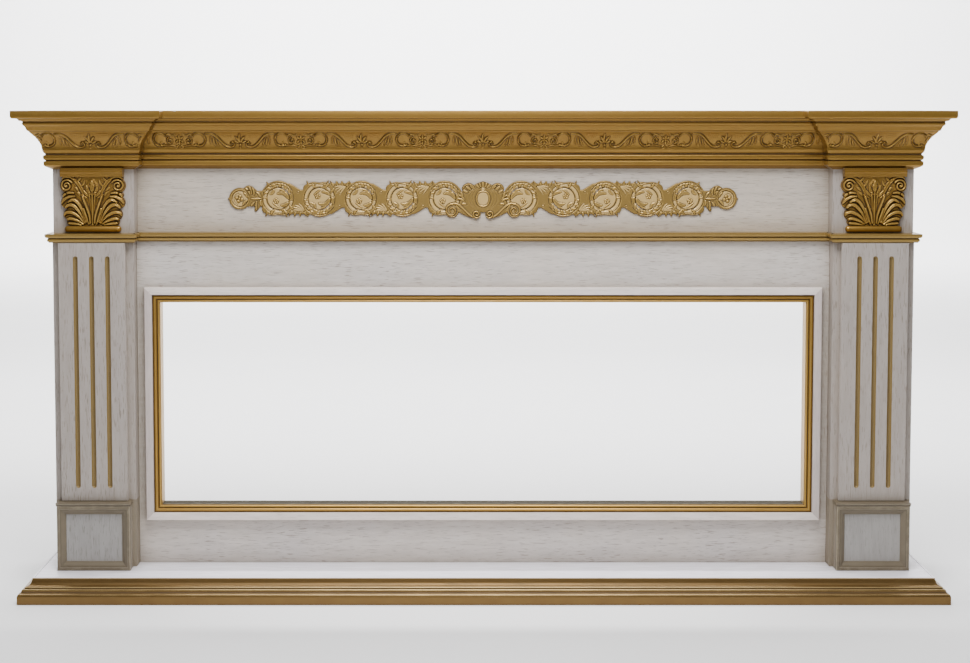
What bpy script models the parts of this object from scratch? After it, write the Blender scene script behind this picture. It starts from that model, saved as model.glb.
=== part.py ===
"""A wide wooden mantelpiece for a long, low fire.

A white, patinated portal stands on a moulded base. Two pilasters with fluted
boards, framed plinth blocks and carved capitals carry a cornice that breaks
forward over them, and the frieze between the capitals has a long carved
ornament. The lower panel has a wide opening with a rebated frame.

Metres, +Z up, the front faces -Y, and the origin is at the middle of the
footprint on the floor.
"""

import math

import bmesh
import bpy
from mathutils import Vector

# Clearance between pieces that touch.
GAP = 0.0003

# Heights of the storeys, from the floor up.
BASE_HEIGHT = 0.050
PLINTH_HEIGHT = 0.146
SHAFT_HEIGHT = 0.550
ARCHITRAVE_HEIGHT = 0.019
FRIEZE_HEIGHT = 0.135
CORNICE_HEIGHT = 0.124

# Widths.
BODY_WIDTH = 1.822
PILASTER_WIDTH = 0.171
FLUTED_BOARD_MARGIN = 0.0155
PLINTH_MARGIN = 0.008
BASE_SIDE_MARGIN = 0.032

# How far each plane stands out, the first one from the wall.
CARCASS_DEPTH = 0.192
PANEL_BOARD = 0.018
SIDE_BOARD = 0.016
CHANNEL_WALL = 0.016
PILASTER_PROJECTION = 0.030
FRIEZE_BLOCK_PROJECTION = 0.020
FLUTED_BOARD_THICKNESS = 0.016
PLINTH_PROJECTION = 0.023
BASE_FRONT_MARGIN = 0.048

# The mantel board lies in a rebate of the cornice.
MANTEL_BOARD = 0.016
FRIEZE_PANEL_LAP = 0.065

# Mouldings.
BASE_PROJECTION = 0.026
BASE_LIP = 0.004
BASE_FOOT = 0.020
BASE_BOARD = 0.016
CORNICE_PROJECTION = 0.069
CORNICE_EDGE = 0.014
ARCHITRAVE_PROJECTION = 0.011
ARCHITRAVE_OVER_FLUTES = 0.006
ARCHITRAVE_OVER_PANEL = 0.015

# The opening, by the widths of the panel that are left round it, and its frame.
PANEL_STILE = 0.050
PANEL_HEAD = 0.131
PANEL_FOOT = 0.128
FRAME_WIDTH = 0.0325
FRAME_PROUD = 0.013
FRAME_REBATE = 0.028
FRAME_LIP = 0.010

# Plinth frames: mitred rails round a flat field, under a slim cap.
RAIL_WIDTH = 0.0185
RAIL_PROUD = 0.008
CAP_HEIGHT = 0.008
CAP_OVERHANG = 0.003

# Flutes.
FLUTE_COUNT = 3
FLUTE_WIDTH = 0.0095
FLUTE_DEPTH = 0.004
FLUTE_SIDE_MARGIN = 0.0315
FLUTE_END_MARGIN = 0.028

# The carved ornament on the frieze.
ORNAMENT_LENGTH = 1.100
ORNAMENT_HEIGHT = 0.081
ORNAMENT_PLATE = 0.003
ORNAMENT_SCROLLS = 5
ORNAMENT_RAISE = 0.0042
ORNAMENT_ABOVE_MIDDLE = 0.003

# The outline of that ornament, as shares of half its length or half its height.
SCROLLS_FROM = 0.150
SCROLLS_TO = 0.798
ROUNDEL_AT = 0.946
ARCH_REACH = 0.97
BACK_REACH = 0.88
NOTCH_REACH = 0.52
BRIDGE_REACH = 0.84
ROUNDEL_REACH = 0.62
LINK_REACH = 0.42
OUTLINE_STEPS = 26

# The cove of the cornice, as shares of the cornice's projection and height.
COVE_OUT = (0.25, 0.545)
COVE_UP = (0.335, 0.635)
COVE_POWER = 2.0
COVE_STEPS = 3

# The relief in the cove of the cornice.
RELIEF_PERIOD = 0.258
RELIEF_RAISE = 0.0030
STROKE_SINK = 0.0005
RELIEF_END_MARGIN = 0.006
CARVED_RUNS = ("centre", "front_left", "front_right")

# The capitals.
CAPITAL_MARGIN = 0.0145
CAPITAL_FOOT_CLEARANCE = 0.002
CAPITAL_TOP_CLEARANCE = 0.004
CAPITAL_DEPTH = 0.022
ASTRAGAL_HEIGHT = 0.014
ABACUS_HEIGHT = 0.009
CARVING_OVERLAP = 0.002

# Levels, worked out from the storeys.
PLINTH_BOTTOM = BASE_HEIGHT
SHAFT_BOTTOM = PLINTH_BOTTOM + PLINTH_HEIGHT
SHAFT_TOP = SHAFT_BOTTOM + SHAFT_HEIGHT
FRIEZE_BOTTOM = SHAFT_TOP + ARCHITRAVE_HEIGHT
CORNICE_BOTTOM = FRIEZE_BOTTOM + FRIEZE_HEIGHT
TOP = CORNICE_BOTTOM + CORNICE_HEIGHT
MANTEL_BOTTOM = TOP - MANTEL_BOARD
OPENING_BOTTOM = BASE_HEIGHT + PANEL_FOOT
OPENING_TOP = SHAFT_TOP - PANEL_HEAD

# Planes, as distances from the wall.
FRIEZE_FACE = CARCASS_DEPTH
PANEL_FACE = CARCASS_DEPTH + PANEL_BOARD
BLOCK_FACE = PANEL_FACE + FRIEZE_BLOCK_PROJECTION
PILASTER_FACE = PANEL_FACE + PILASTER_PROJECTION
FLUTED_FACE = PILASTER_FACE + FLUTED_BOARD_THICKNESS
PLINTH_FACE = PILASTER_FACE + PLINTH_PROJECTION
BASE_FACE = PLINTH_FACE + RAIL_PROUD + BASE_FRONT_MARGIN
TOTAL_DEPTH = BASE_FACE + BASE_PROJECTION
ARCHITRAVE_FRONT_CORE = FLUTED_FACE + ARCHITRAVE_OVER_FLUTES - ARCHITRAVE_PROJECTION
ARCHITRAVE_CENTRE_CORE = PANEL_FACE + ARCHITRAVE_OVER_PANEL - ARCHITRAVE_PROJECTION

BODY_HALF = BODY_WIDTH / 2
INNER_HALF = BODY_HALF - PILASTER_WIDTH
OPENING_HALF = INNER_HALF - PANEL_STILE
PILASTER_MIDDLE = BODY_HALF - PILASTER_WIDTH / 2
BASE_HALF = BODY_HALF + BASE_SIDE_MARGIN
WALL_Y = TOTAL_DEPTH / 2

SIDES = (("left", -1), ("right", 1))


def depth_to_y(depth):
    """The Y of a plane that stands this far from the wall."""
    return WALL_Y - depth


def clear_scene():
    """Remove the objects that a new scene comes with."""
    for thing in list(bpy.data.objects):
        bpy.data.objects.remove(thing)


def add_collection(name):
    """A new collection in the scene."""
    group = bpy.data.collections.new(name)
    bpy.context.scene.collection.children.link(group)
    return group


def add_material(name, colour, roughness, metallic):
    """A plain material with the piece's colour, roughness and metallic value."""
    finish = bpy.data.materials.new(name)
    finish.use_nodes = True
    shader = finish.node_tree.nodes["Principled BSDF"]
    shader.inputs["Base Color"].default_value = (*colour, 1)
    shader.inputs["Roughness"].default_value = roughness
    shader.inputs["Metallic"].default_value = metallic
    finish.diffuse_color = (*colour, 1)
    return finish


def add_object(name, solid, finish, group):
    """Turn a bmesh into a named object with its own copy of a finish."""
    bmesh.ops.recalc_face_normals(solid, faces=solid.faces)
    mesh = bpy.data.meshes.new(name)
    solid.to_mesh(mesh)
    solid.free()
    thing = bpy.data.objects.new(name, mesh)
    group.objects.link(thing)
    if finish is not None:
        own = finish.copy()
        own.name = name + "_finish"
        mesh.materials.append(own)
    return thing


def add_cutter(name, solid, cutters):
    """A shape that only cuts or joins another one."""
    thing = add_object(name, solid, None, cutters)
    thing.hide_render = True
    thing.display_type = "WIRE"
    return thing


def add_boolean(thing, other, operation, overlapping=False):
    """Cut or join one object with another, which may hold overlapping shapes."""
    change = thing.modifiers.new(operation.title() + " " + other.name, "BOOLEAN")
    change.operation = operation
    change.solver = "EXACT"
    change.use_self = overlapping
    change.object = other


def add_box(solid, low, high):
    """Put a box between two corners into a bmesh."""
    made = bmesh.ops.create_cube(solid, size=1)
    for vert in made["verts"]:
        for axis in range(3):
            share = vert.co[axis] + 0.5
            vert.co[axis] = low[axis] + (high[axis] - low[axis]) * share


def add_board(name, low, high, finish, group):
    """A plain board between two corners."""
    solid = bmesh.new()
    add_box(solid, low, high)
    return add_object(name, solid, finish, group)


def add_prism(solid, outline, bottom, top):
    """Put a flat outline, raised from one height to another, into a bmesh."""
    corners = [solid.verts.new((x, y, bottom)) for x, y in outline]
    face = solid.faces.new(corners)
    raised = bmesh.ops.extrude_face_region(solid, geom=[face])
    for part in raised["geom"]:
        if isinstance(part, bmesh.types.BMVert):
            part.co.z = top


def join_rings(solid, first, second):
    """Faces between two closed rings of as many points each."""
    count = len(first)
    for index in range(count):
        following = (index + 1) % count
        solid.faces.new((first[index], first[following], second[following], second[index]))


class Run:
    """One straight length of moulding, its profile set out from a core plane.

    A point of the profile is (out, up). Along the run each end may slope with
    the projection: +1 at an outside corner, -1 at an inside corner, 0 square.
    """

    def __init__(self, origin, along, outward, ends, slopes):
        self.origin = Vector(origin)
        self.along = Vector(along)
        self.outward = Vector(outward)
        self.ends = ends
        self.slopes = slopes

    def place(self, distance, out, up):
        """The point at a distance along the run and a place in its profile."""
        flat = self.origin + self.along * distance + self.outward * out
        return flat + Vector((0, 0, up))

    def end(self, which, out):
        """How far along the run the profile ends at this projection."""
        sign = (-1, 1)[which]
        slope = self.slopes[which] * max(out, 0)
        return self.ends[which] + sign * slope


def add_run(solid, run, profile, tail, through_mitre):
    """Sweep a moulding's profile along a run.

    The tail is the square part behind the core plane, with a corner of the
    profile on that plane above and below. Where through_mitre is set, the
    mitre carries on through the tail.
    """
    rings = []
    for which in (0, 1):
        ring = []
        for out, up in profile:
            distance = run.end(which, out)
            if through_mitre and out < 0:
                distance += (-1, 1)[which] * run.slopes[which] * out
            ring.append(solid.verts.new(run.place(distance, out, up)))
        rings.append(ring)
    join_rings(solid, *rings)
    for ring in rings:
        if tail and not through_mitre:
            solid.faces.new(ring[1:-1])
            solid.faces.new((ring[0], ring[1], ring[-2], ring[-1]))
        else:
            solid.faces.new(ring)


def arc(centre, radius, start, stop, steps):
    """Points on an arc, the angles in degrees."""
    points = []
    for step in range(steps + 1):
        angle = math.radians(start + (stop - start) * step / steps)
        points.append((centre[0] + radius * math.cos(angle), centre[1] + radius * math.sin(angle)))
    return points


def cove_point(share):
    """A point of the cornice's cove, from its foot (0) to its top (1)."""
    out = COVE_OUT[0] + (COVE_OUT[1] - COVE_OUT[0]) * share**COVE_POWER
    up = COVE_UP[0] + (COVE_UP[1] - COVE_UP[0]) * share
    return out * CORNICE_PROJECTION, up * CORNICE_HEIGHT


def cove_normal(share):
    """The outward direction of the cove's surface, as (out, up)."""
    rise = (COVE_UP[1] - COVE_UP[0]) * CORNICE_HEIGHT
    run_out = (COVE_OUT[1] - COVE_OUT[0]) * CORNICE_PROJECTION * COVE_POWER * share ** (COVE_POWER - 1)
    length = math.hypot(rise, run_out)
    return rise / length, -run_out / length


def scaled(shares, across, height):
    """A profile drawn in shares, at its real projection and height."""
    return [(out * across, up * height) for out, up in shares]


def cornice_profile():
    """From the foot of the back, over the front, to the rebate for the mantel board."""
    below = [(0, 0), (0.17, 0.055), (0.22, 0.08), (0.22, 0.13), (0.165, 0.15)]
    bead = [(0.185, 0.165), (0.225, 0.19), (0.225, 0.215), (0.185, 0.24)]
    fillet = [(0.20, 0.275), (0.25, 0.29)]
    above = [(0.55, 0.66), (0.61, 0.685), (0.65, 0.74), (0.71, 0.76), (0.725, 0.785), (0.71, 0.81)]
    crown = [(0.79, 0.815), (0.83, 0.85), (0.97, 0.86), (1.0, 0.885), (1.0, 1.0)]
    lower = scaled(below + bead + fillet, CORNICE_PROJECTION, CORNICE_HEIGHT)
    upper = scaled(above + crown, CORNICE_PROJECTION, CORNICE_HEIGHT)
    cove = [cove_point(step / COVE_STEPS) for step in range(COVE_STEPS + 1)]
    edge = CORNICE_PROJECTION - CORNICE_EDGE
    seat = CORNICE_HEIGHT - MANTEL_BOARD - GAP
    profile = lower + cove + upper + [(edge, CORNICE_HEIGHT), (edge, seat), (0, seat)]
    return [(max(out, GAP), up) for out, up in profile]


def architrave_profile(tail):
    """A bead under a small ovolo, with its square back part behind the core."""
    front = [(0.36, 0), (0.36, 0.13), (0.58, 0.2), (0.64, 0.32), (0.56, 0.44), (0.45, 0.48)]
    ovolo = [(0.6, 0.53), (0.87, 0.62), (1.0, 0.78), (1.0, 1.0)]
    face = scaled(front + ovolo, ARCHITRAVE_PROJECTION, ARCHITRAVE_HEIGHT - 2 * GAP)
    top = ARCHITRAVE_HEIGHT - 2 * GAP
    if tail == 0:
        return [(GAP, 0)] + face + [(GAP, top)]
    return [(-tail, 0), (0, 0)] + face + [(0, top), (-tail, top)]


def base_profile():
    """The foot moulding, with the lip before the top board and the foot that carries it."""
    shares = [(1.0, 0), (1.0, 0.36), (0.92, 0.43), (0.78, 0.46), (0.70, 0.50)]
    bead = [(0.70, 0.55), (0.62, 0.585), (0.48, 0.59), (0.46, 0.62)]
    slope = [(0.42, 0.67), (0.23, 0.75), (0.06, 0.86), (0, 0.88), (0, 1.0)]
    face = scaled(shares + bead + slope, BASE_PROJECTION, BASE_HEIGHT)
    seat = BASE_HEIGHT - BASE_BOARD - GAP
    foot = BASE_LIP + BASE_FOOT
    return [(-foot, 0)] + face + [(-BASE_LIP, BASE_HEIGHT), (-BASE_LIP, seat), (-foot, seat)]


def frame_profile():
    """The opening's frame, from its sight edge out: two beads and a white flat.

    The first number is the distance from the sight edge, the second how far
    the point stands before the panel's face.
    """
    beads = [(0, 0.25), (0.04, 0.45), (0.12, 0.5), (0.2, 0.38), (0.24, 0.5), (0.36, 0.66), (0.46, 0.52)]
    flat = [(0.49, 0.52), (0.52, 1.0), (0.97, 1.0), (1.0, 0.94)]
    face = scaled(beads + flat, FRAME_WIDTH, FRAME_PROUD)
    lip = FRAME_LIP - GAP
    return face + [(FRAME_WIDTH, GAP), (lip, GAP), (lip, -FRAME_REBATE), (0, -FRAME_REBATE)]


def rail_profile():
    """A plinth frame's rail: across from its outer edge, out from the block."""
    flat = [(0, 0), (0, 0.85), (0.08, 1.0), (0.35, 1.0)]
    hollow = [(0.42, 0.8), (0.6, 0.75), (0.9, 0.25), (1.0, 0)]
    return [(across, out + GAP) for across, out in scaled(flat + hollow, RAIL_WIDTH, RAIL_PROUD)]


def cap_profile():
    """The cap over a plinth block: two fillets, out from the block's core and up."""
    reach = RAIL_PROUD + CAP_OVERHANG
    top = CAP_HEIGHT - 2 * GAP
    shares = [(0.72, 0), (0.72, 0.3), (0.86, 0.42), (0.86, 0.55), (1.0, 0.7), (1.0, 1.0)]
    return [(0, 0)] + scaled(shares, reach, top) + [(0, top)]


def add_carcass(finishes, group):
    """The boards that the portal is put together from."""
    white = finishes["white"]
    carcass_back = depth_to_y(0)
    panel_back = depth_to_y(CARCASS_DEPTH)
    for side, sign in SIDES:
        outer = sign * BODY_HALF
        inner = sign * (BODY_HALF - SIDE_BOARD)
        low = (min(outer, inner), panel_back + GAP, BASE_HEIGHT + GAP)
        high = (max(outer, inner), carcass_back, MANTEL_BOTTOM - GAP)
        add_board("side_panel_" + side, low, high, white, group)
    half = BODY_HALF - SIDE_BOARD - GAP
    low = (-half, panel_back + GAP, SHAFT_TOP - FRIEZE_PANEL_LAP)
    high = (half, panel_back + PANEL_BOARD, MANTEL_BOTTOM - GAP)
    add_board("frieze_panel", low, high, white, group)


def add_lower_panel(finishes, group, cutters):
    """The lower panel, with the hole that the opening's frame lines."""
    half = INNER_HALF - GAP
    front = depth_to_y(PANEL_FACE)
    back = depth_to_y(CARCASS_DEPTH)
    low = (-half, front, BASE_HEIGHT + GAP)
    high = (half, back, SHAFT_TOP - GAP)
    panel = add_board("lower_panel", low, high, finishes["white"], group)
    solid = bmesh.new()
    hole_half = OPENING_HALF + FRAME_LIP
    low = (-hole_half, front - PANEL_BOARD, OPENING_BOTTOM - FRAME_LIP)
    high = (hole_half, back + PANEL_BOARD, OPENING_TOP + FRAME_LIP)
    add_box(solid, low, high)
    add_boolean(panel, add_cutter("opening_cutter", solid, cutters), "DIFFERENCE")


def add_channel(name, sign, face, bottom, top, finish, group):
    """A pilaster's box, open at the back: a front with a return at each side."""
    low = min(sign * INNER_HALF, sign * BODY_HALF)
    high = max(sign * INNER_HALF, sign * BODY_HALF)
    front = depth_to_y(face)
    back = depth_to_y(CARCASS_DEPTH) - GAP
    outline = [
        (low, front),
        (high, front),
        (high, back),
        (high - CHANNEL_WALL, back),
        (high - CHANNEL_WALL, front + CHANNEL_WALL),
        (low + CHANNEL_WALL, front + CHANNEL_WALL),
        (low + CHANNEL_WALL, back),
        (low, back),
    ]
    solid = bmesh.new()
    add_prism(solid, outline, bottom, top)
    return add_object(name, solid, finish, group)


def add_flute(solid, middle, front, bottom, top):
    """Put the cutter of one flute, a long capsule, into a bmesh."""
    half = FLUTE_WIDTH / 2
    radius = (half**2 + FLUTE_DEPTH**2) / (2 * FLUTE_DEPTH)
    made = bmesh.ops.create_uvsphere(solid, u_segments=10, v_segments=6, radius=radius)
    low = bottom + half
    high = top - half
    for vert in made["verts"]:
        vert.co.x += middle
        vert.co.y += front + FLUTE_DEPTH - radius
        if vert.co.z > 1e-6:
            vert.co.z += high
        else:
            vert.co.z += low


def add_fluted_board(side, sign, finishes, group, cutters):
    """The board with flutes on a pilaster's front."""
    half = PILASTER_WIDTH / 2 - FLUTED_BOARD_MARGIN
    middle = sign * PILASTER_MIDDLE
    front = depth_to_y(FLUTED_FACE)
    low = (middle - half, front, SHAFT_BOTTOM + GAP)
    high = (middle + half, depth_to_y(PILASTER_FACE) - GAP, SHAFT_TOP - GAP)
    board = add_board("fluted_board_" + side, low, high, finishes["white"], group)
    solid = bmesh.new()
    reach = half - FLUTE_SIDE_MARGIN - FLUTE_WIDTH / 2
    for index in range(FLUTE_COUNT):
        share = index / (FLUTE_COUNT - 1) * 2 - 1
        bottom = SHAFT_BOTTOM + FLUTE_END_MARGIN
        top = SHAFT_TOP - FLUTE_END_MARGIN
        add_flute(solid, middle + share * reach, front, bottom, top)
    add_boolean(board, add_cutter("flute_cutter_" + side, solid, cutters), "DIFFERENCE")


def add_frame_member(name, corners, profile, facing, finish, group):
    """A mitred member of a frame.

    The corners are the two ends of its outer edge as (x, z), and the member
    lies to their right hand side looking from the first to the second. The
    profile is (across, out), out from the plane at this Y.
    """
    start = Vector((corners[0][0], corners[0][1]))
    stop = Vector((corners[1][0], corners[1][1]))
    along = (stop - start).normalized()
    inward = Vector((along.y, -along.x))
    solid = bmesh.new()
    rings = []
    for point, sign in ((start, 1), (stop, -1)):
        ring = []
        for across, out in profile:
            place = point + inward * across + along * sign * (across + GAP / 2)
            ring.append(solid.verts.new((place.x, facing - out, place.y)))
        rings.append(ring)
    join_rings(solid, *rings)
    for ring in rings:
        solid.faces.new(ring)
    return add_object(name, solid, finish, group)


def frame_corners(low_x, high_x, low_z, high_z):
    """The four outer edges of a frame as it is gone round clockwise from its top."""
    return {
        "top": ((low_x, high_z), (high_x, high_z)),
        "right": ((high_x, high_z), (high_x, low_z)),
        "bottom": ((high_x, low_z), (low_x, low_z)),
        "left": ((low_x, low_z), (low_x, high_z)),
    }


def add_opening_frame(finishes, group):
    """Four mitred and rebated members round the opening."""
    half = OPENING_HALF + FRAME_WIDTH
    low = OPENING_BOTTOM - FRAME_WIDTH
    high = OPENING_TOP + FRAME_WIDTH
    profile = [(FRAME_WIDTH - across, out) for across, out in frame_profile()]
    for where, corners in frame_corners(-half, half, low, high).items():
        name = "opening_frame_" + where
        add_frame_member(name, corners, profile, depth_to_y(PANEL_FACE), finishes["gold"], group)


def add_plinth(side, sign, finishes, group):
    """A plinth block with four mitred rails round its flat field, and its cap."""
    half = PILASTER_WIDTH / 2 - PLINTH_MARGIN
    middle = sign * PILASTER_MIDDLE
    face = depth_to_y(PLINTH_FACE)
    back = depth_to_y(PILASTER_FACE) - GAP
    bottom = PLINTH_BOTTOM + GAP
    top = SHAFT_BOTTOM - CAP_HEIGHT - GAP
    low = (middle - half, face, bottom)
    high = (middle + half, back, top)
    add_board("plinth_block_" + side, low, high, finishes["white"], group)
    for where, corners in frame_corners(middle - half, middle + half, bottom, top).items():
        name = "plinth_rail_" + where + "_" + side
        add_frame_member(name, corners, rail_profile(), face, finishes["beige"], group)
    solid = bmesh.new()
    ends = (middle - half - CAP_OVERHANG, middle + half + CAP_OVERHANG)
    run = Run((0, face, top + GAP), (1, 0, 0), (0, -1, 0), ends, (0, 0))
    profile = cap_profile()
    tail = back - face
    profile = [(-tail, profile[0][1])] + profile + [(-tail, profile[-1][1])]
    add_run(solid, run, profile, tail, False)
    add_object("plinth_cap_" + side, solid, finishes["beige"], group)


def moulding_runs(centre_core, front_core, inner, outer, level):
    """The seven runs of a moulding that breaks forward over the pilasters.

    The cores are distances from the wall. Each run's ends meet its neighbours
    with the usual gap.
    """
    joint = GAP / 2
    centre_y = depth_to_y(centre_core)
    front_y = depth_to_y(front_core)
    runs = {}
    ends = (-inner + joint, inner - joint)
    runs["centre"] = Run((0, centre_y, level), (1, 0, 0), (0, -1, 0), ends, (-1, -1))
    for side, sign in SIDES:
        ends = sorted((sign * inner, sign * outer))
        ends = (ends[0] + joint, ends[1] - joint)
        runs["front_" + side] = Run((0, front_y, level), (1, 0, 0), (0, -1, 0), ends, (1, 1))
        origin = (sign * inner, front_y, level)
        ends = (joint, front_core - centre_core - joint)
        runs["return_" + side] = Run(origin, (0, 1, 0), (-sign, 0, 0), ends, (1, -1))
        origin = (sign * outer, front_y, level)
        ends = (joint, front_core)
        runs["side_" + side] = Run(origin, (0, 1, 0), (sign, 0, 0), ends, (1, 0))
    return runs


def add_base(finishes, group):
    """The top board of the base and the moulding on three sides of it."""
    half = BASE_HALF - BASE_LIP - GAP
    low = (-half, depth_to_y(BASE_FACE) + BASE_LIP + GAP, BASE_HEIGHT - BASE_BOARD)
    high = (half, depth_to_y(0), BASE_HEIGHT)
    add_board("base_top_board", low, high, finishes["white"], group)
    joint = GAP / 2
    front_y = depth_to_y(BASE_FACE)
    ends = (-BASE_HALF + joint, BASE_HALF - joint)
    runs = {"front": Run((0, front_y, 0), (1, 0, 0), (0, -1, 0), ends, (1, 1))}
    for side, sign in SIDES:
        origin = (sign * BASE_HALF, front_y, 0)
        runs[side] = Run(origin, (0, 1, 0), (sign, 0, 0), (joint, BASE_FACE), (1, 0))
    for where, run in runs.items():
        solid = bmesh.new()
        add_run(solid, run, base_profile(), BASE_FOOT, True)
        add_object("base_moulding_" + where, solid, finishes["gold"], group)


def add_architrave(finishes, group):
    """The slim gold moulding between the shafts and the frieze."""
    level = SHAFT_TOP + GAP
    cores = (ARCHITRAVE_CENTRE_CORE, ARCHITRAVE_FRONT_CORE)
    runs = moulding_runs(*cores, INNER_HALF, BODY_HALF, level)
    tails = {
        "centre": ARCHITRAVE_CENTRE_CORE - FRIEZE_FACE - GAP,
        "front_left": ARCHITRAVE_FRONT_CORE - BLOCK_FACE - GAP,
        "front_right": ARCHITRAVE_FRONT_CORE - BLOCK_FACE - GAP,
    }
    for where, run in runs.items():
        tail = tails.get(where, 0)
        solid = bmesh.new()
        add_run(solid, run, architrave_profile(tail), tail, False)
        add_object("architrave_" + where, solid, finishes["gold"], group)


def add_cornice(finishes, group, cutters):
    """The cornice, its mitred runs carved with a band of scrolls in the cove."""
    runs = moulding_runs(FRIEZE_FACE, BLOCK_FACE, INNER_HALF, BODY_HALF, CORNICE_BOTTOM)
    for where, run in runs.items():
        solid = bmesh.new()
        add_run(solid, run, cornice_profile(), 0, False)
        name = "cornice_" + where
        thing = add_object(name, solid, finishes["gold"], group)
        if where in CARVED_RUNS:
            relief = cornice_relief(run, where)
            add_boolean(thing, add_cutter(name + "_relief", relief, cutters), "UNION")


def add_mantel_board(finishes, group):
    """The top board, with the same breaks as the cornice that it lies in."""
    edge = CORNICE_PROJECTION - CORNICE_EDGE - GAP
    back = depth_to_y(0)
    centre = depth_to_y(FRIEZE_FACE) - edge
    front = depth_to_y(BLOCK_FACE) - edge
    outer = BODY_HALF + edge
    inner = INNER_HALF - edge
    outline = [
        (-outer, back),
        (-outer, front),
        (-inner, front),
        (-inner, centre),
        (inner, centre),
        (inner, front),
        (outer, front),
        (outer, back),
    ]
    solid = bmesh.new()
    add_prism(solid, outline, MANTEL_BOTTOM, TOP)
    add_object("mantel_board", solid, finishes["white"], group)


def arc_stroke(centre, radius, start, stop, steps, widths):
    """A stroke along an arc: its points and its half width at each of them.

    The radius may change along the arc, as (first, last), for a spiral.
    """
    first, last = radius if isinstance(radius, tuple) else (radius, radius)
    points = []
    halves = []
    for step in range(steps + 1):
        share = step / steps
        angle = math.radians(start + (stop - start) * share)
        reach = first + (last - first) * share
        points.append((centre[0] + reach * math.cos(angle), centre[1] + reach * math.sin(angle)))
        halves.append(widths[0] + (widths[1] - widths[0]) * share)
    return points, halves


def leaf_stroke(start, stop, bend, half_width, steps=2):
    """A leaf: a stroke that swells in the middle, bent to one side."""
    along = Vector(stop) - Vector(start)
    across = Vector((-along.y, along.x))
    points = []
    halves = []
    for step in range(steps + 1):
        share = step / steps
        swell = math.sin(math.pi * (0.15 + 0.8 * share))
        place = Vector(start) + along * share + across * bend * math.sin(math.pi * share)
        points.append((place.x, place.y))
        halves.append(half_width * max(swell, 0.25))
    return points, halves


def mirrored(strokes):
    """The same strokes on the other side of the middle."""
    return [([(-u, v) for u, v in points], halves) for points, halves in strokes]


def relief_solid(strokes, domes, raise_by, cutters):
    """Ridges along flat strokes and low domes, as closed shapes in one bmesh.

    The shapes lie in the XY plane, and stand out along Z. A ridge stands as
    high as it is half wide, times raise_by over the widest half width.
    """
    curve = bpy.data.curves.new("strokes", "CURVE")
    curve.dimensions = "3D"
    curve.twist_mode = "Z_UP"
    curve.fill_mode = "FULL"
    curve.bevel_depth = 1
    curve.bevel_resolution = 0
    curve.use_fill_caps = True
    widest = 0
    for points, halves in strokes:
        spline = curve.splines.new("POLY")
        spline.points.add(len(points) - 1)
        for point, place, half in zip(spline.points, points, halves, strict=True):
            point.co = (place[0], place[1], 0, 1)
            point.radius = half
            widest = max(widest, half)
    holder = bpy.data.objects.new("strokes", curve)
    cutters.objects.link(holder)
    graph = bpy.context.evaluated_depsgraph_get()
    mesh = bpy.data.meshes.new_from_object(holder.evaluated_get(graph))
    solid = bmesh.new()
    solid.from_mesh(mesh)
    bpy.data.objects.remove(holder)
    bpy.data.meshes.remove(mesh)
    bmesh.ops.remove_doubles(solid, verts=solid.verts, dist=1e-6)
    bmesh.ops.recalc_face_normals(solid, faces=solid.faces)
    for vert in solid.verts:
        vert.co.z *= raise_by / widest
    for place, radius, height in domes:
        made = bmesh.ops.create_uvsphere(solid, u_segments=6, v_segments=3, radius=1)
        for vert in made["verts"]:
            vert.co.x = place[0] + vert.co.x * radius
            vert.co.y = place[1] + vert.co.y * radius
            vert.co.z *= height
    return solid


def cornice_strokes(where, low, high):
    """The scroll band's strokes between two places along a run.

    A period has a rosette between two C scrolls, then a palmette between two
    S scrolls. The band's height runs from 0 to 1, and its length is in
    metres. What doesn't fit between the ends is left out.
    """
    half = RELIEF_PERIOD / 2
    height = (COVE_UP[1] - COVE_UP[0]) * CORNICE_HEIGHT
    strokes = []
    domes = []
    middle = (low + high) / 2
    first_is_palmette = where != "centre"
    count = math.ceil((high - low) / half) + 1
    for index in range(-count, count + 1):
        place = middle + index * half
        palmette = (index % 2 == 0) == first_is_palmette
        if palmette:
            made, lumps = palmette_group(height)
        else:
            made, lumps = rosette_group(height)
        for points, halves in made:
            moved = [(place + u, v) for u, v in points]
            reach = max(halves)
            if min(u for u, v in moved) - reach > low and max(u for u, v in moved) + reach < high:
                strokes.append((moved, halves))
        for (u, v), radius, rise in lumps:
            if low + radius < place + u < high - radius:
                domes.append(((place + u, v), radius, rise))
    return strokes, domes


def rosette_group(height):
    """Two C scrolls that face away from a rosette, in a band of this height.

    No stroke touches another one, so that each joins the cove alone.
    """
    middle = height * 0.5
    radius = height * 0.34
    centre = (radius * 1.75, middle)
    outer = arc_stroke(centre, (radius * 1.04, radius), 215, -50, 4, (0.0013, 0.0021))
    inner = arc_stroke(centre, (radius * 0.80, radius * 0.40), -115, -250, 1, (0.0020, 0.0012))
    half = [(outer[0] + inner[0], outer[1] + inner[1])]
    rosette = ((0, middle), radius * 0.40, RELIEF_RAISE)
    return half + mirrored(half), [rosette]


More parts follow.
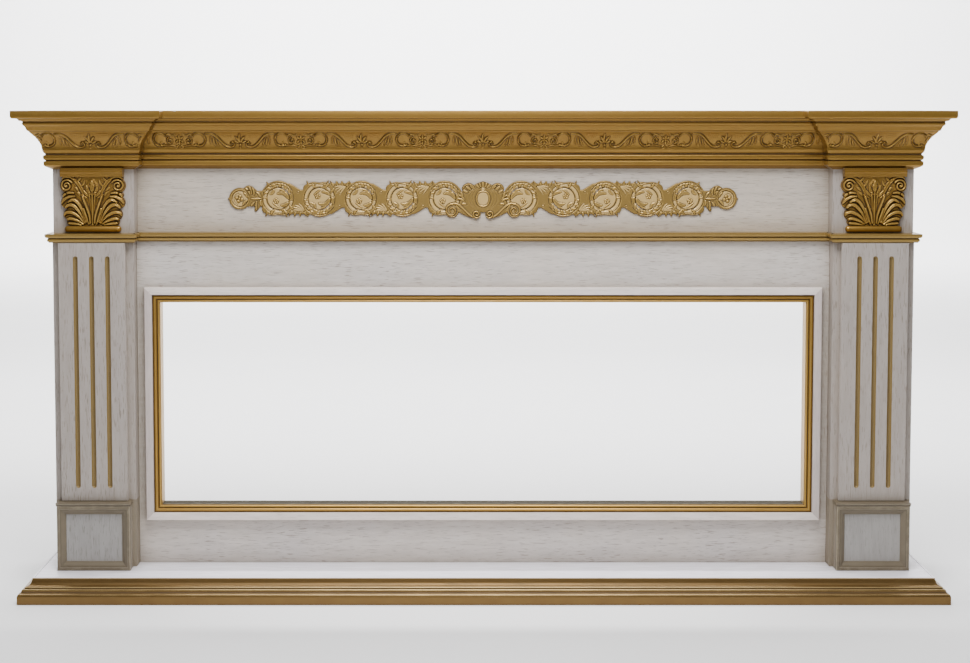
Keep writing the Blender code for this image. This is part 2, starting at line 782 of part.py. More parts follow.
def palmette_group(height):
    """Two S scrolls that rise away from a palmette, in a band of this height."""
    radius = height * 0.32
    foot = (radius * 1.35, radius * 0.95)
    points, halves = arc_stroke(foot, (radius * 0.35, radius * 0.8), 60, 270, 2, (0.0012, 0.0018))
    start = points.pop()
    halves.pop()
    crest = (radius * 4.0, height * 0.82)
    steps = 2
    for step in range(steps + 1):
        share = step / steps
        ease = share * share * (3 - 2 * share)
        across = start[0] + (crest[0] - start[0]) * share
        points.append((across, start[1] + (crest[1] - start[1]) * ease))
        halves.append(0.0020)
    end = arc_stroke((crest[0], crest[1] - radius * 0.6), radius * 0.6, 40, -20, 1, (0.0019, 0.0011))
    half = [(points + end[0], halves + end[1])]
    root = height * 0.30
    lobes = []
    for index in range(-1, 2):
        angle = math.radians(90 + index * 38)
        near = height * (0.17 if index else 0.06)
        far = height * (0.46 if index else 0.56)
        low = (near * math.cos(angle), root + near * math.sin(angle))
        high = (far * math.cos(angle), root + far * math.sin(angle))
        lobes.append(leaf_stroke(low, high, 0, 0.0027))
    return half + mirrored(half) + lobes, []


def cornice_relief(run, where):
    """The scroll band of one run, bent to the cove."""
    cutters = bpy.data.collections["Cutters"]
    out = cove_point(0)[0] + RELIEF_END_MARGIN
    low = run.end(0, out) + RELIEF_END_MARGIN
    high = run.end(1, out) - RELIEF_END_MARGIN
    if run.slopes[0] > 0:
        low += out
    if run.slopes[1] > 0:
        high -= out
    strokes, domes = cornice_strokes(where, low, high)
    solid = relief_solid(strokes, domes, RELIEF_RAISE, cutters)
    height = (COVE_UP[1] - COVE_UP[0]) * CORNICE_HEIGHT
    for vert in solid.verts:
        share = max(vert.co.y / height, 0.02)
        point = cove_point(share)
        normal = cove_normal(share)
        stand = vert.co.z - STROKE_SINK
        out = point[0] + normal[0] * stand
        up = point[1] + normal[1] * stand
        vert.co = run.place(vert.co.x, out, up)
    return solid


def scroll_centres():
    """How far each scroll of the frieze ornament is from its middle."""
    half = ORNAMENT_LENGTH / 2
    first = SCROLLS_FROM * half
    step = (SCROLLS_TO * half - first) / (ORNAMENT_SCROLLS - 1)
    return [first + step * index for index in range(ORNAMENT_SCROLLS)]


def end_centre():
    """How far the end roundels are from the ornament's middle."""
    return ROUNDEL_AT * ORNAMENT_LENGTH / 2


def arches_over(index):
    """Whether a scroll's outer leaf arches over its top, and not under it."""
    return index % 2 == 0


def ornament_edge(distance, upper):
    """How far the ornament's outline is above or below its centre line."""
    half = ORNAMENT_HEIGHT / 2
    reach = []
    for index, centre in enumerate(scroll_centres()):
        bulge = half * (ARCH_REACH if arches_over(index) == upper else BACK_REACH)
        offset = abs(distance - centre)
        if offset < bulge:
            reach.append(math.sqrt(bulge**2 - offset**2))
    centres = scroll_centres()
    for index in range(len(centres) - 1):
        notched = arches_over(index) != upper
        if centres[index] < distance < centres[index + 1]:
            reach.append(half * (NOTCH_REACH if notched else BRIDGE_REACH))
    roundel = half * ROUNDEL_REACH
    offset = abs(distance - end_centre())
    if offset < roundel:
        reach.append(math.sqrt(roundel**2 - offset**2))
    if centres[-1] < distance < end_centre():
        reach.append(half * LINK_REACH)
    if distance < centres[0]:
        reach.append(half * (0.80 if upper else 0.70) - distance * (0.2 if upper else -0.1))
    return max(reach) if reach else 0


def add_plate(solid, outline, front, back):
    """Put a flat outline in XZ, between two Y planes, into a bmesh."""
    corners = [solid.verts.new((x, front, z)) for x, z in outline]
    face = solid.faces.new(corners)
    raised = bmesh.ops.extrude_face_region(solid, geom=[face])
    for part in raised["geom"]:
        if isinstance(part, bmesh.types.BMVert):
            part.co.y = back


def ornament_outline():
    """The outline of the ornament's plate, the same at both sides."""
    end = end_centre() + ORNAMENT_HEIGHT / 2 * ROUNDEL_REACH
    right_top = []
    right_bottom = []
    for step in range(OUTLINE_STEPS + 1):
        distance = end * step / OUTLINE_STEPS
        right_top.append((distance, ornament_edge(distance, True)))
        right_bottom.append((distance, -ornament_edge(distance, False)))
    right = right_bottom[:-1] + [(end, 0)] + right_top[:-1][::-1]
    left = [(-x, z) for x, z in right[1:-1][::-1]]
    return right + left


def ornament_strokes():
    """The ridges and domes of the frieze ornament, about its middle.

    Each scroll is a ring that curls in to a boss, under or over an arching
    leaf, with small leaves at its other side and a stem between two scrolls.
    The strokes stand apart, so that each joins the plate alone.
    """
    half = ORNAMENT_HEIGHT / 2
    ring = half * 0.60
    strokes = []
    domes = []
    centres = scroll_centres()
    for index, centre in enumerate(centres):
        side = 1 if arches_over(index) else -1
        outer = arc_stroke((centre, 0), ring, 10 * side, 270 * side, 5, (0.0016, 0.0030))
        spiral = (ring * 0.84, half * 0.26)
        curl = arc_stroke((centre, 0), spiral, 320 * side, 440 * side, 2, (0.0028, 0.0016))
        low = -side * half
        foot = ((centre - ring * 0.80, low * 0.74), (centre + ring * 0.80, low * 0.74))
        strokes += [
            (outer[0] + curl[0], outer[1] + curl[1]),
            arc_stroke((centre, 0), half * 0.84, 38 * side, 142 * side, 2, (0.0022, 0.0034)),
            leaf_stroke(*foot, -0.05 * side, 0.0034),
        ]
        domes.append(((centre, 0), half * 0.16, ORNAMENT_RAISE))
        if index + 1 < len(centres):
            middle = (centre + centres[index + 1]) / 2
            ends = ((middle - 0.006, side * half * 0.34), (middle + 0.005, low * 0.62))
            strokes.append(leaf_stroke(*ends, 0.12, 0.0052))
    end = end_centre()
    strokes.append(arc_stroke((end, 0), half * 0.5, -150, 150, 5, (0.0026, 0.0026)))
    domes.append(((end, 0), half * 0.22, ORNAMENT_RAISE))
    link = (centres[-1] + end) / 2 + 0.002
    strokes.append(leaf_stroke((link - 0.001, half * 0.30), (link + 0.003, -half * 0.30), 0.10, 0.0030))
    strokes += cartouche_strokes(half)
    mirror = mirrored(strokes)
    domes += [((-u, v), radius, rise) for (u, v), radius, rise in domes]
    domes.append(((0, half * 0.07), half * 0.30, ORNAMENT_RAISE * 1.2))
    return strokes + mirror, domes


def cartouche_strokes(half):
    """Half of the middle cartouche: its border, crown and foot volute."""
    volute = (half * 0.30, -half * 0.66)
    spiral = (half * 0.24, half * 0.12)
    return [
        arc_stroke((0.001, half * 0.07), half * 0.50, -76, 76, 4, (0.0022, 0.0022)),
        leaf_stroke((0.0034, half * 0.70), (0.0130, half * 0.76), 0.15, 0.0026),
        arc_stroke(volute, spiral, 100, -150, 4, (0.0022, 0.0014)),
        leaf_stroke((half * 0.70, -half * 0.30), (half * 0.66, half * 0.34), -0.15, 0.0032),
    ]


def add_ornament(finishes, group, cutters):
    """The long carved ornament in the middle of the frieze."""
    level = FRIEZE_BOTTOM + FRIEZE_HEIGHT / 2 + ORNAMENT_ABOVE_MIDDLE
    back = depth_to_y(FRIEZE_FACE) - GAP
    front = back - ORNAMENT_PLATE
    solid = bmesh.new()
    add_plate(solid, [(x, z + level) for x, z in ornament_outline()], front, back)
    thing = add_object("frieze_ornament", solid, finishes["gold"], group)
    strokes, domes = ornament_strokes()
    relief = relief_solid(strokes, domes, ORNAMENT_RAISE, cutters)
    for vert in relief.verts:
        stand = vert.co.z if vert.co.z > 0 else vert.co.z * 0.4
        vert.co = Vector((vert.co.x, front - stand + STROKE_SINK, vert.co.y + level))
    add_boolean(thing, add_cutter("ornament_relief", relief, cutters), "UNION")


def capital_strokes(half, height):
    """One side of a capital's carving, as shares of its half width and height."""

    def at(u, v):
        return (u * half, v * height)

    return [
        leaf_stroke(at(0.05, 0.06), at(0.26, 0.60), -0.05, 0.0048),
        leaf_stroke(at(0.22, 0.03), at(0.46, 0.46), 0.10, 0.0058),
        leaf_stroke(at(0.44, 0.46), at(0.72, 0.30), 0.25, 0.0056),
        leaf_stroke(at(0.30, 0.03), at(0.66, 0.12), 0.25, 0.0050),
        leaf_stroke(at(0.60, 0.34), at(0.76, 0.54), 0.10, 0.0056),
        leaf_stroke(at(0.72, 0.56), at(0.90, 0.46), 0.20, 0.0044),
        arc_stroke(at(0.76, 0.80), (half * 0.20, half * 0.05), 165, -300, 7, (0.0036, 0.0022)),
        leaf_stroke(at(0.03, 0.70), at(0.16, 0.86), 0.15, 0.0036),
    ]


def capital_swell(u, v, half, height):
    """How far the bell stands out at a place on its front."""
    across = min(abs(u) / half, 1)
    rise = min(max(v / height, 0), 1)
    return CAPITAL_DEPTH * (0.40 + 0.25 * rise**2) * math.sqrt(1 - 0.75 * across**2)


def add_bell(solid, half, height, back, foot):
    """Put the capital's bell, wider and deeper at the top, into a bmesh."""
    across_steps = 6
    rise_steps = 2
    grid = []
    for rise in range(rise_steps + 1):
        share = rise / rise_steps
        width = half * (0.70 + 0.30 * share**1.4)
        row = []
        for step in range(across_steps + 1):
            u = width * (step / across_steps * 2 - 1)
            stand = capital_swell(u, share * height, half, height) * 0.9
            row.append(solid.verts.new((u, back - stand, foot + share * height)))
        row.append(solid.verts.new((width, back, foot + share * height)))
        row.append(solid.verts.new((-width, back, foot + share * height)))
        grid.append(row)
    for lower, upper in zip(grid[:-1], grid[1:], strict=True):
        join_rings(solid, lower, upper)
    solid.faces.new(grid[0][::-1])
    solid.faces.new(grid[-1])


def add_capital(side, sign, finishes, group, cutters):
    """A carved capital on the front of a frieze block."""
    middle = sign * PILASTER_MIDDLE
    half = PILASTER_WIDTH / 2 - CAPITAL_MARGIN
    back = depth_to_y(BLOCK_FACE) - GAP
    foot = FRIEZE_BOTTOM + CAPITAL_FOOT_CLEARANCE
    top = CORNICE_BOTTOM - CAPITAL_TOP_CLEARANCE
    bell_foot = foot + ASTRAGAL_HEIGHT
    bell_height = top - ABACUS_HEIGHT - bell_foot
    solid = bmesh.new()
    add_bell(solid, half, bell_height + CARVING_OVERLAP, back, bell_foot - CARVING_OVERLAP)
    for vert in solid.verts:
        vert.co.x += middle
    name = "capital_" + side
    thing = add_object(name, solid, finishes["gold"], group)
    pieces = bmesh.new()
    abacus_half = half * 0.965
    low = (middle - abacus_half, back - CAPITAL_DEPTH * 0.95, top - ABACUS_HEIGHT - CARVING_OVERLAP)
    high = (middle + abacus_half, back, top)
    add_box(pieces, low, high)
    radius = ASTRAGAL_HEIGHT / 2
    reach = half * 0.845 - radius
    made = bmesh.ops.create_uvsphere(pieces, u_segments=8, v_segments=4, radius=radius)
    for vert in made["verts"]:
        x, y, z = vert.co
        shift = reach if z > 1e-6 else -reach
        vert.co = Vector((middle + z + shift, back - radius * 0.9 + y, foot + radius + x))
    bmesh.ops.recalc_face_normals(pieces, faces=pieces.faces)
    block = add_cutter(name + "_bars", pieces, cutters)
    strokes = capital_strokes(half, bell_height)
    centre = leaf_stroke((0, bell_height * 0.04), (0, bell_height * 0.68), 0, 0.0056)
    flower = ((0, bell_height * 0.80), half * 0.13, CAPITAL_DEPTH * 0.32)
    domes = [flower, ((half * 0.76, bell_height * 0.80), half * 0.07, CAPITAL_DEPTH * 0.36)]
    domes.append(((-domes[1][0][0], domes[1][0][1]), domes[1][1], domes[1][2]))
    relief = relief_solid(strokes + mirrored(strokes) + [centre], domes, CAPITAL_DEPTH * 0.30, cutters)
    for vert in relief.verts:
        swell = capital_swell(vert.co.x, vert.co.y, half, bell_height)
        stand = max(swell + vert.co.z - STROKE_SINK, 0.0005)
        vert.co = Vector((middle + vert.co.x, back - stand, bell_foot + vert.co.y))
    add_boolean(thing, block, "UNION")
    add_boolean(thing, add_cutter(name + "_relief", relief, cutters), "UNION", True)
    behind = bmesh.new()
    low = (middle - PILASTER_WIDTH, back, foot - ASTRAGAL_HEIGHT)
    high = (middle + PILASTER_WIDTH, back + PILASTER_WIDTH, top + ASTRAGAL_HEIGHT)
    add_box(behind, low, high)
    add_boolean(thing, add_cutter(name + "_trim", behind, cutters), "DIFFERENCE")


def main():
    """Build the mantelpiece from the floor up."""
    clear_scene()
    group = add_collection("Mantelpiece")
    cutters = add_collection("Cutters")
    finishes = {
        "white": add_material("white_patina", (0.55, 0.51, 0.46), 0.55, 0.0),
        "gold": add_material("antique_gold", (0.39, 0.24, 0.08), 0.42, 0.35),
        "beige": add_material("beige_patina", (0.30, 0.26, 0.19), 0.5, 0.1),
    }
    add_base(finishes, group)
    add_carcass(finishes, group)
    add_lower_panel(finishes, group, cutters)
    add_opening_frame(finishes, group)
    for side, sign in SIDES:
        white = finishes["white"]
        body = (PILASTER_FACE, BASE_HEIGHT + GAP, SHAFT_TOP - GAP)
        add_channel("pilaster_body_" + side, sign, *body, white, group)
        block = (BLOCK_FACE, SHAFT_TOP + GAP, MANTEL_BOTTOM - GAP)
        add_channel("frieze_block_" + side, sign, *block, white, group)
        add_fluted_board(side, sign, finishes, group, cutters)
        add_plinth(side, sign, finishes, group)
        add_capital(side, sign, finishes, group, cutters)
    add_architrave(finishes, group)
    add_cornice(finishes, group, cutters)
    add_mantel_board(finishes, group)
    add_ornament(finishes, group, cutters)


main()
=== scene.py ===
"""The looks of a wide wooden mantelpiece: patinated white paint and antique gold carving.

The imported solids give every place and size. The plain boards stay as they are and get
their paint, and the mouldings, flutes and carving are made again here with a fine surface.
Everything is in metres, but the carver's drawings are in millimetres.
"""

import logging
import math
from collections.abc import Callable, Iterable, Sequence
from dataclasses import dataclass, replace
from enum import Enum

import bpy
import numpy as np
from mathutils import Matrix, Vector


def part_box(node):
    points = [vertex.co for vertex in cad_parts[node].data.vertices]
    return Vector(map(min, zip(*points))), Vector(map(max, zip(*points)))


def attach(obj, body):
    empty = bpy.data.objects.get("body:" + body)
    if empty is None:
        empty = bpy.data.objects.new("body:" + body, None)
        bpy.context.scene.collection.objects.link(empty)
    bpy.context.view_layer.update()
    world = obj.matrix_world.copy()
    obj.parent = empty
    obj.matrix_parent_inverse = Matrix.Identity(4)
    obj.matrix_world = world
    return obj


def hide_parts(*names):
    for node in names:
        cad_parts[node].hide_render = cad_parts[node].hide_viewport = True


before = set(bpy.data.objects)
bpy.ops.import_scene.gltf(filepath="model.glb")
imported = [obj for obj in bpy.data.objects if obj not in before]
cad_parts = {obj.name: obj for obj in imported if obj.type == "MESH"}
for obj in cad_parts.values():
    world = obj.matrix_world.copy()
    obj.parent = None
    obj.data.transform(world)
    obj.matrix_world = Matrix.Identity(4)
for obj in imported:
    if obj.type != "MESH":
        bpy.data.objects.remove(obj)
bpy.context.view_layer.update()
LOG = logging.getLogger("mantelpiece")
MM = 0.001
SEAM = 0.3 * MM
SIDES = (("left", -1), ("right", 1))
RIGHTWARD, BACKWARD = Vector((1, 0, 0)), Vector((0, 1, 0))
FORWARD, UPWARD = Vector((0, -1, 0)), Vector((0, 0, 1))

# A corner is (out, up, radius). In a table of shares the first two are shares of a moulding's
# projection and height, and the radius is in millimetres.
Corners = Sequence[tuple[float, float, float]]
Spot = tuple[float, float]
Socket = bpy.types.NodeSocket


def srgb(code: str) -> tuple[float, float, float, float]:
    """Turn an sRGB hex colour into linear RGBA.

    Args:
        code: Six hex digits after a hash sign.

    Returns:
        The linear colour, opaque.
    """
    channels = [int(code[place : place + 2], 16) / 255 for place in (1, 3, 5)]
    linear = [c / 12.92 if c <= 0.04045 else ((c + 0.055) / 1.055) ** 2.4 for c in channels]
    return (linear[0], linear[1], linear[2], 1.0)


class Nodes:
    """The nodes of one material."""

    def __init__(self, name: str) -> None:
        """Start a material with its shader and with places on the object."""
        self.material = bpy.data.materials.new(name)
        self.material.use_nodes = True
        self.tree = self.material.node_tree
        self.shader = self.tree.nodes["Principled BSDF"]
        self.place = self.add("ShaderNodeTexCoord").outputs["Object"]

    def give(self, node: bpy.types.Node, inputs: dict) -> None:
        """Link or set a node's inputs, from sockets or values by name or number."""
        for name, value in inputs.items():
            if isinstance(value, Socket):
                self.tree.links.new(value, node.inputs[name])
            else:
                node.inputs[name].default_value = value

    def add(self, kind: str, inputs: dict | None = None, **settings) -> bpy.types.Node:
        """Add a node.

        Args:
            kind: The node's type.
            inputs: Values or output sockets, by input name or number.
            **settings: Properties of the node.

        Returns:
            The new node.
        """
        node = self.tree.nodes.new(kind)
        for name, value in settings.items():
            setattr(node, name, value)
        self.give(node, inputs or {})
        return node

    def attribute(self, name: str) -> Socket:
        """A number that the mesh holds at each point."""
        return self.add("ShaderNodeAttribute", attribute_name=name).outputs["Fac"]

    def noise(self, size: float, detail: float, place: Socket | None = None,
              roughness: float = 0.5) -> Socket:
        """Noise in patches of a size in metres, or in the unit of the place that is given."""
        inputs = {"Vector": place or self.place, "Scale": 1 / size, "Detail": detail, "Roughness": roughness}
        return self.add("ShaderNodeTexNoise", inputs).outputs["Fac"]

    def stretched(self, scale: list[float]) -> Socket:
        """Places on the object, scaled by axis."""
        return self.add("ShaderNodeMapping", {"Vector": self.place, "Scale": scale}).outputs[0]

    def reckon(self, operation: str, *values: Socket | float) -> Socket:
        """One step of arithmetic on one to three values."""
        return self.add("ShaderNodeMath", dict(enumerate(values)), operation=operation).outputs[0]

    def remap(self, value: Socket, span: Spot, to: Spot = (0.0, 1.0), **settings) -> Socket:
        """A value carried from one span to another, and kept inside it."""
        inputs = {"Value": value, "From Min": span[0], "From Max": span[1], "To Min": to[0], "To Max": to[1]}
        return self.add("ShaderNodeMapRange", inputs, **settings).outputs[0]

    def mix(self, share: Socket, first: Socket | str, second: Socket | str) -> Socket:
        """Two colours, each a socket or a hex code, mixed by the share of the second."""
        pair = [srgb(colour) if isinstance(colour, str) else colour for colour in (first, second)]
        return self.add("ShaderNodeMix", {0: share, 6: pair[0], 7: pair[1]}, data_type="RGBA").outputs[2]

    def openness(self, distance: float) -> Socket:
        """How open a place is within a distance: 0 deep in a corner, 1 on a flat."""
        return self.add("ShaderNodeAmbientOcclusion", {"Distance": distance}, samples=6).outputs["AO"]

    def bump(self, height: Socket, strength: float, distance: float, **settings) -> Socket:
        """A normal that follows a height."""
        inputs = {"Height": height, "Strength": strength, "Distance": distance}
        return self.add("ShaderNodeBump", inputs, **settings).outputs[0]

    def finish(self, **inputs: Socket | float) -> bpy.types.Material:
        """Give the shader its inputs, with underscores for spaces in their names."""
        self.give(self.shader, {name.replace("_", " "): value for name, value in inputs.items()})
        return self.material


class Grain(Enum):
    """Which way the wood's pores run, as the axis along them."""

    ACROSS = 0
    UPRIGHT = 2


@dataclass(frozen=True)
class Zone:
    """A part of a board, past a distance from the middle, between two heights and behind a plane."""

    beyond: float
    above: float
    below: float
    behind: float = -10.0

    def mask(self, nodes: Nodes) -> Socket:
        """Add nodes that give 1 in the zone and 0 elsewhere, and return their socket."""
        x, y, z = nodes.add("ShaderNodeSeparateXYZ", {0: nodes.place}).outputs
        away = nodes.reckon("ABSOLUTE", x)
        inside = 1.0
        for value, test, limit in ((away, "GREATER_THAN", self.beyond), (z, "GREATER_THAN", self.above),
                                   (z, "LESS_THAN", self.below), (y, "GREATER_THAN", self.behind)):
            inside = nodes.reckon("MULTIPLY", nodes.reckon(test, value, limit), inside)
        return inside


@dataclass(frozen=True)
class PatinatedWhite:
    """Open-pored ash, sprayed off-white, with a grey-brown glaze wiped into its pores.

    The paint is satin and slightly cloudy, and the pores show as fine dashes along the grain.
    Real pores are about 0.3 mm wide, so they are drawn about 2 mm wide to show in the render.
    The glaze colour is also laid into each corner between two boards, as painted shade.
    A board may have stiles, a zone with upright grain that is darker, and a foot, a zone in beige.
    """

    name: str
    grain: Grain
    paint: str = "#CCC1B0"
    cloud: str = "#BFB8B4"
    pore: str = "#72665A"
    # The colour laid into corners as painted shade, and mixed into the stiles.
    glaze: str = "#7A6C58"
    beige: str = "#7A6F5C"
    pore_length: float = 25 * MM
    pore_width: float = 2.1 * MM
    pore_strength: float = 0.72
    cloud_size: float = 160 * MM
    streak_length: float = 57.142857 * MM
    streak_width: float = 8 * MM
    # How far from a corner the painted shade reaches.
    corner: float = 42 * MM
    roughness: float = 0.5
    stile_share: float = 0.2
    foot_share: float = 0.8
    stiles: Zone | None = None
    foot: Zone | None = None

    @staticmethod
    def along(nodes: Nodes, grain: Grain, length: float, width: float) -> Socket:
        """Places measured in lengths along the grain and widths across it."""
        scale = [1 / width] * 3
        scale[grain.value] = 1 / length
        return nodes.stretched(scale)

    def make(self) -> bpy.types.Material:
        """Build the material's nodes."""
        nodes = Nodes(self.name)
        pore = (self.pore_length, self.pore_width)
        place = self.along(nodes, self.grain, *pore)
        if self.stiles:
            stile = self.stiles.mask(nodes)
            upright = self.along(nodes, Grain.UPRIGHT, *pore)
            turned = nodes.add("ShaderNodeMix", {0: stile, 4: place, 5: upright}, data_type="VECTOR")
            place = turned.outputs[1]
        dashes = nodes.noise(1.0, 2.0, place, 0.55)
        pores = nodes.remap(dashes, (0.565, 0.66), interpolation_type="SMOOTHSTEP")
        patches = nodes.noise(self.cloud_size, 3.0)
        pores = nodes.reckon("MULTIPLY", pores, nodes.remap(patches, (0.3, 0.7), (0.35, 1.0)))
        colour = nodes.mix(patches, self.paint, self.cloud)
        streaks = nodes.noise(1.0, 2.0, self.along(nodes, self.grain, self.streak_length, self.streak_width))
        colour = nodes.mix(nodes.remap(streaks, (0.35, 0.65), (0.0, 0.16)), colour, self.pore)
        colour = nodes.mix(nodes.reckon("MULTIPLY", pores, self.pore_strength), colour, self.pore)
        # Painted shade: the glaze colour darkens each corner, by ambient occlusion.
        wiped = nodes.remap(nodes.openness(self.corner), (0.2, 0.9), (0.62, 0.0))
        colour = nodes.mix(wiped, colour, self.glaze)
        if self.stiles:
            colour = nodes.mix(nodes.reckon("MULTIPLY", stile, self.stile_share), colour, self.glaze)
        if self.foot:
            foot = nodes.reckon("MULTIPLY", self.foot.mask(nodes), self.foot_share)
            colour = nodes.mix(foot, colour, self.beige)
        sunk = nodes.bump(pores, 0.35, 0.15 * MM, invert=True)
        return nodes.finish(Base_Color=colour, Normal=sunk, Roughness=self.roughness)


@dataclass(frozen=True)
class AntiqueGold:
    """Bronze-gold lacquer sprayed on carved wood, with a brown glaze wiped back.

    The glaze stays in every hollow, and the lacquer is rubbed pale on every edge, a pale that also serves as
    painted highlight.
    Each mesh says in its wear attribute where it is hollow (-1) and where it stands out (+1),
    and in its cream attribute where a field is picked out in cream.
    """

    name: str = "antique_gold_lacquer"
    lacquer: str = "#90702F"
    warm: str = "#825F28"
    # The pale of worn edges, which also serves as painted highlight.
    rubbed: str = "#C9A458"
    glaze: str = "#3A2705"
    cream: str = "#BD9F64"
    metallic: float = 0.7
    roughness: float = 0.35
    speckle_size: float = 1.4 * MM
    cloud_size: float = 45 * MM
    corner: float = 7 * MM

    def make(self) -> bpy.types.Material:
        """Build the material's nodes."""
        nodes = Nodes(self.name)
        field = nodes.attribute("cream")
        clouds, speckle = nodes.noise(self.cloud_size, 4.0), nodes.noise(self.speckle_size, 2.0)
        worn = nodes.attribute("wear")
        for unevenness in (clouds, speckle):
            worn = nodes.reckon("ADD", worn, nodes.reckon("MULTIPLY_ADD", unevenness, 0.5, -0.25))
        colour = nodes.mix(clouds, self.lacquer, self.warm)
        colour = nodes.mix(field, colour, self.cream)
        # Rubbed edges: partly real wear, partly painted highlight.
        colour = nodes.mix(nodes.remap(worn, (0.25, 1.05), (0.0, 0.6)), colour, self.rubbed)
        hollow = nodes.remap(worn, (-0.12, -0.75), (0.0, 0.92))
        hidden = nodes.remap(nodes.openness(self.corner), (0.2, 0.8), (0.6, 0.0))
        glazed = nodes.reckon("MAXIMUM", hollow, hidden)
        metal = nodes.remap(glazed, (0.0, 1.0), (self.metallic, 0.1))
        return nodes.finish(
            Base_Color=nodes.mix(glazed, colour, self.glaze),
            Roughness=nodes.remap(glazed, (0.0, 1.0), (self.roughness, 0.68)),
            Metallic=nodes.reckon("MULTIPLY", metal, nodes.remap(field, (0.0, 1.0), (1.0, 0.35))),
            Normal=nodes.bump(speckle, 0.25, 0.25 * MM),
        )


@dataclass(frozen=True)
class GlazedBeige:
    """White paint under a thick olive-grey glaze, rubbed through on its arrises.

    The plinths' mouldings look stone-coloured for it, paler on each edge, with small worn spots.
    """

    name: str = "glazed_beige_paint"
    glaze: str = "#5A503F"
    thin: str = "#695E4B"
    rubbed: str = "#AFA38B"
    deep: str = "#352C1A"
    spot_size: float = 16 * MM
    cloud_size: float = 30 * MM
    roughness: float = 0.46
    shine: float = 0.5

    def make(self) -> bpy.types.Material:
        """Build the material's nodes."""
        nodes = Nodes(self.name)
        uneven = nodes.reckon("MULTIPLY_ADD", nodes.noise(self.spot_size, 2.0), 0.5, -0.25)
        worn = nodes.reckon("ADD", nodes.attribute("wear"), uneven)
        colour = nodes.mix(nodes.noise(self.cloud_size, 3.0), self.glaze, self.thin)
        colour = nodes.mix(nodes.remap(worn, (0.6, 1.2), (0.0, 0.8)), colour, self.rubbed)
        colour = nodes.mix(nodes.remap(worn, (-0.2, -0.9), (0.0, 0.7)), colour, self.deep)
        return nodes.finish(Base_Color=colour, Roughness=self.roughness, Specular_IOR_Level=self.shine)


class Finishes:
    """Every finish of the mantelpiece, made once."""

    def __init__(self) -> None:
        """Make the materials."""
        across, upright = Grain.ACROSS, Grain.UPRIGHT
        frame_low, frame_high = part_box("opening_frame_left")
        cap_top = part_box("plinth_cap_left")[1].z
        block_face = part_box("plinth_block_left")[0].y + 1.2 * MM
        # The upright boards get a darker copy of the paint, as painted shade.
        shaded = {"paint": "#A59B92", "cloud": "#9B9490", "pore_strength": 0.85}
        self.white = {
            across: PatinatedWhite("patinated_white_ash_across", across).make(),
            upright: PatinatedWhite("patinated_white_ash_upright", upright, **shaded).make(),
        }
        # The frieze gets a darker, warmer paint, as painted shade.
        self.frieze = PatinatedWhite("patinated_white_ash_frieze", across, "#C3B6A4", "#B4ADA7").make()
        stiles = Zone(-frame_high.x, frame_low.z, frame_high.z)
        self.panel = PatinatedWhite("patinated_white_ash_panel", across, "#CCC2B6", "#BFBAB9",
                                    stiles=stiles).make()
        self.shaft = PatinatedWhite("patinated_white_ash_beige_foot", upright, **shaded,
                                    foot=Zone(0, 0, cap_top)).make()
        # The frame's paint is paler on the top and bottom members, as painted light from above, and darker on
        # the uprights, as painted shade.
        self.framing = {
            across: PatinatedWhite("pale_framing_paint_across", across, "#E9DDD3", "#E0D5D1",
                                   pore_strength=0.3).make(),
            upright: PatinatedWhite("pale_framing_paint_upright", upright, "#C8BBB4", "#BEB2B0",
                                    pore_strength=0.3).make(),
        }
        # The plinth blocks get a darker paint, as painted shade low down. Their sides are beige.
        self.plinth = PatinatedWhite("heavily_glazed_plinth_paint", upright, "#96928D", "#8D8B8A", "#5E5850",
                                     foot=Zone(0, 0, 1, block_face)).make()
        # The top board's white lacquer, made paler still as painted light from above.
        self.smooth = PatinatedWhite("smooth_white_lacquer", across, "#F6F3F8", "#F2EFFA",
                                     pore_strength=0.05, roughness=0.4).make()
        self.gold = AntiqueGold().make()
        # The base's gold is darker, as painted shade low down, and its paler rubbed colour serves as painted
        # highlight.
        self.base_gold = AntiqueGold("deep_gold_lacquer", "#70582F", "#624926", "#E4C68A").make()
        self.pale_gold = AntiqueGold("pale_gold_lacquer", "#95793F", "#846A35", glaze="#3A2C0E",
                                     metallic=0.5).make()
        self.flute_gold = AntiqueGold("dull_flute_gold", "#8A7448", "#7A6438", glaze="#4A3C1E",
                                      metallic=0.35, roughness=0.5).make()
        self.beige = GlazedBeige().make()
        # The sill's reveal is painted near-black and dull.
        self.sill = GlazedBeige("dark_glazed_sill_paint", "#3A362E", "#454036", "#7A7464",
                                roughness=0.9, shine=0.1).make()


def sized(shares: Corners, out: float, up: float) -> list[tuple[float, float, float]]:
    """Corners in metres, from shares of a projection and a height and radii in millimetres."""
    return [(first * out, second * up, radius * MM) for first, second, radius in shares]


def rounded(points: Corners, steps: int = 4) -> np.ndarray:
    """Round the corners of an open outline.

    Args:
        points: The corners.
        steps: How many pieces each rounded corner has.

    Returns:
        The outline's points, one a row.
    """
    radii = [point[2] for point in points]
    flat = [np.array(point[:2], float) for point in points]
    made = [flat[0]]
    for before, here, after, radius in zip(flat, flat[1:], flat[2:], radii[1:]):
        if radius <= 0:
            made.append(here)
            continue
        arms = []
        for other in (before, after):
            arm = other - here
            length = max(float(np.hypot(*arm)), 1e-9)
            arms.append(here + arm / length * min(radius, length * 0.49))
        for share in np.linspace(0, 1, steps + 1):
            first = arms[0] * (1 - share) + here * share
            second = here * (1 - share) + arms[1] * share
            made.append(first * (1 - share) + second * share)
    made.append(flat[-1])
    return np.array(made)


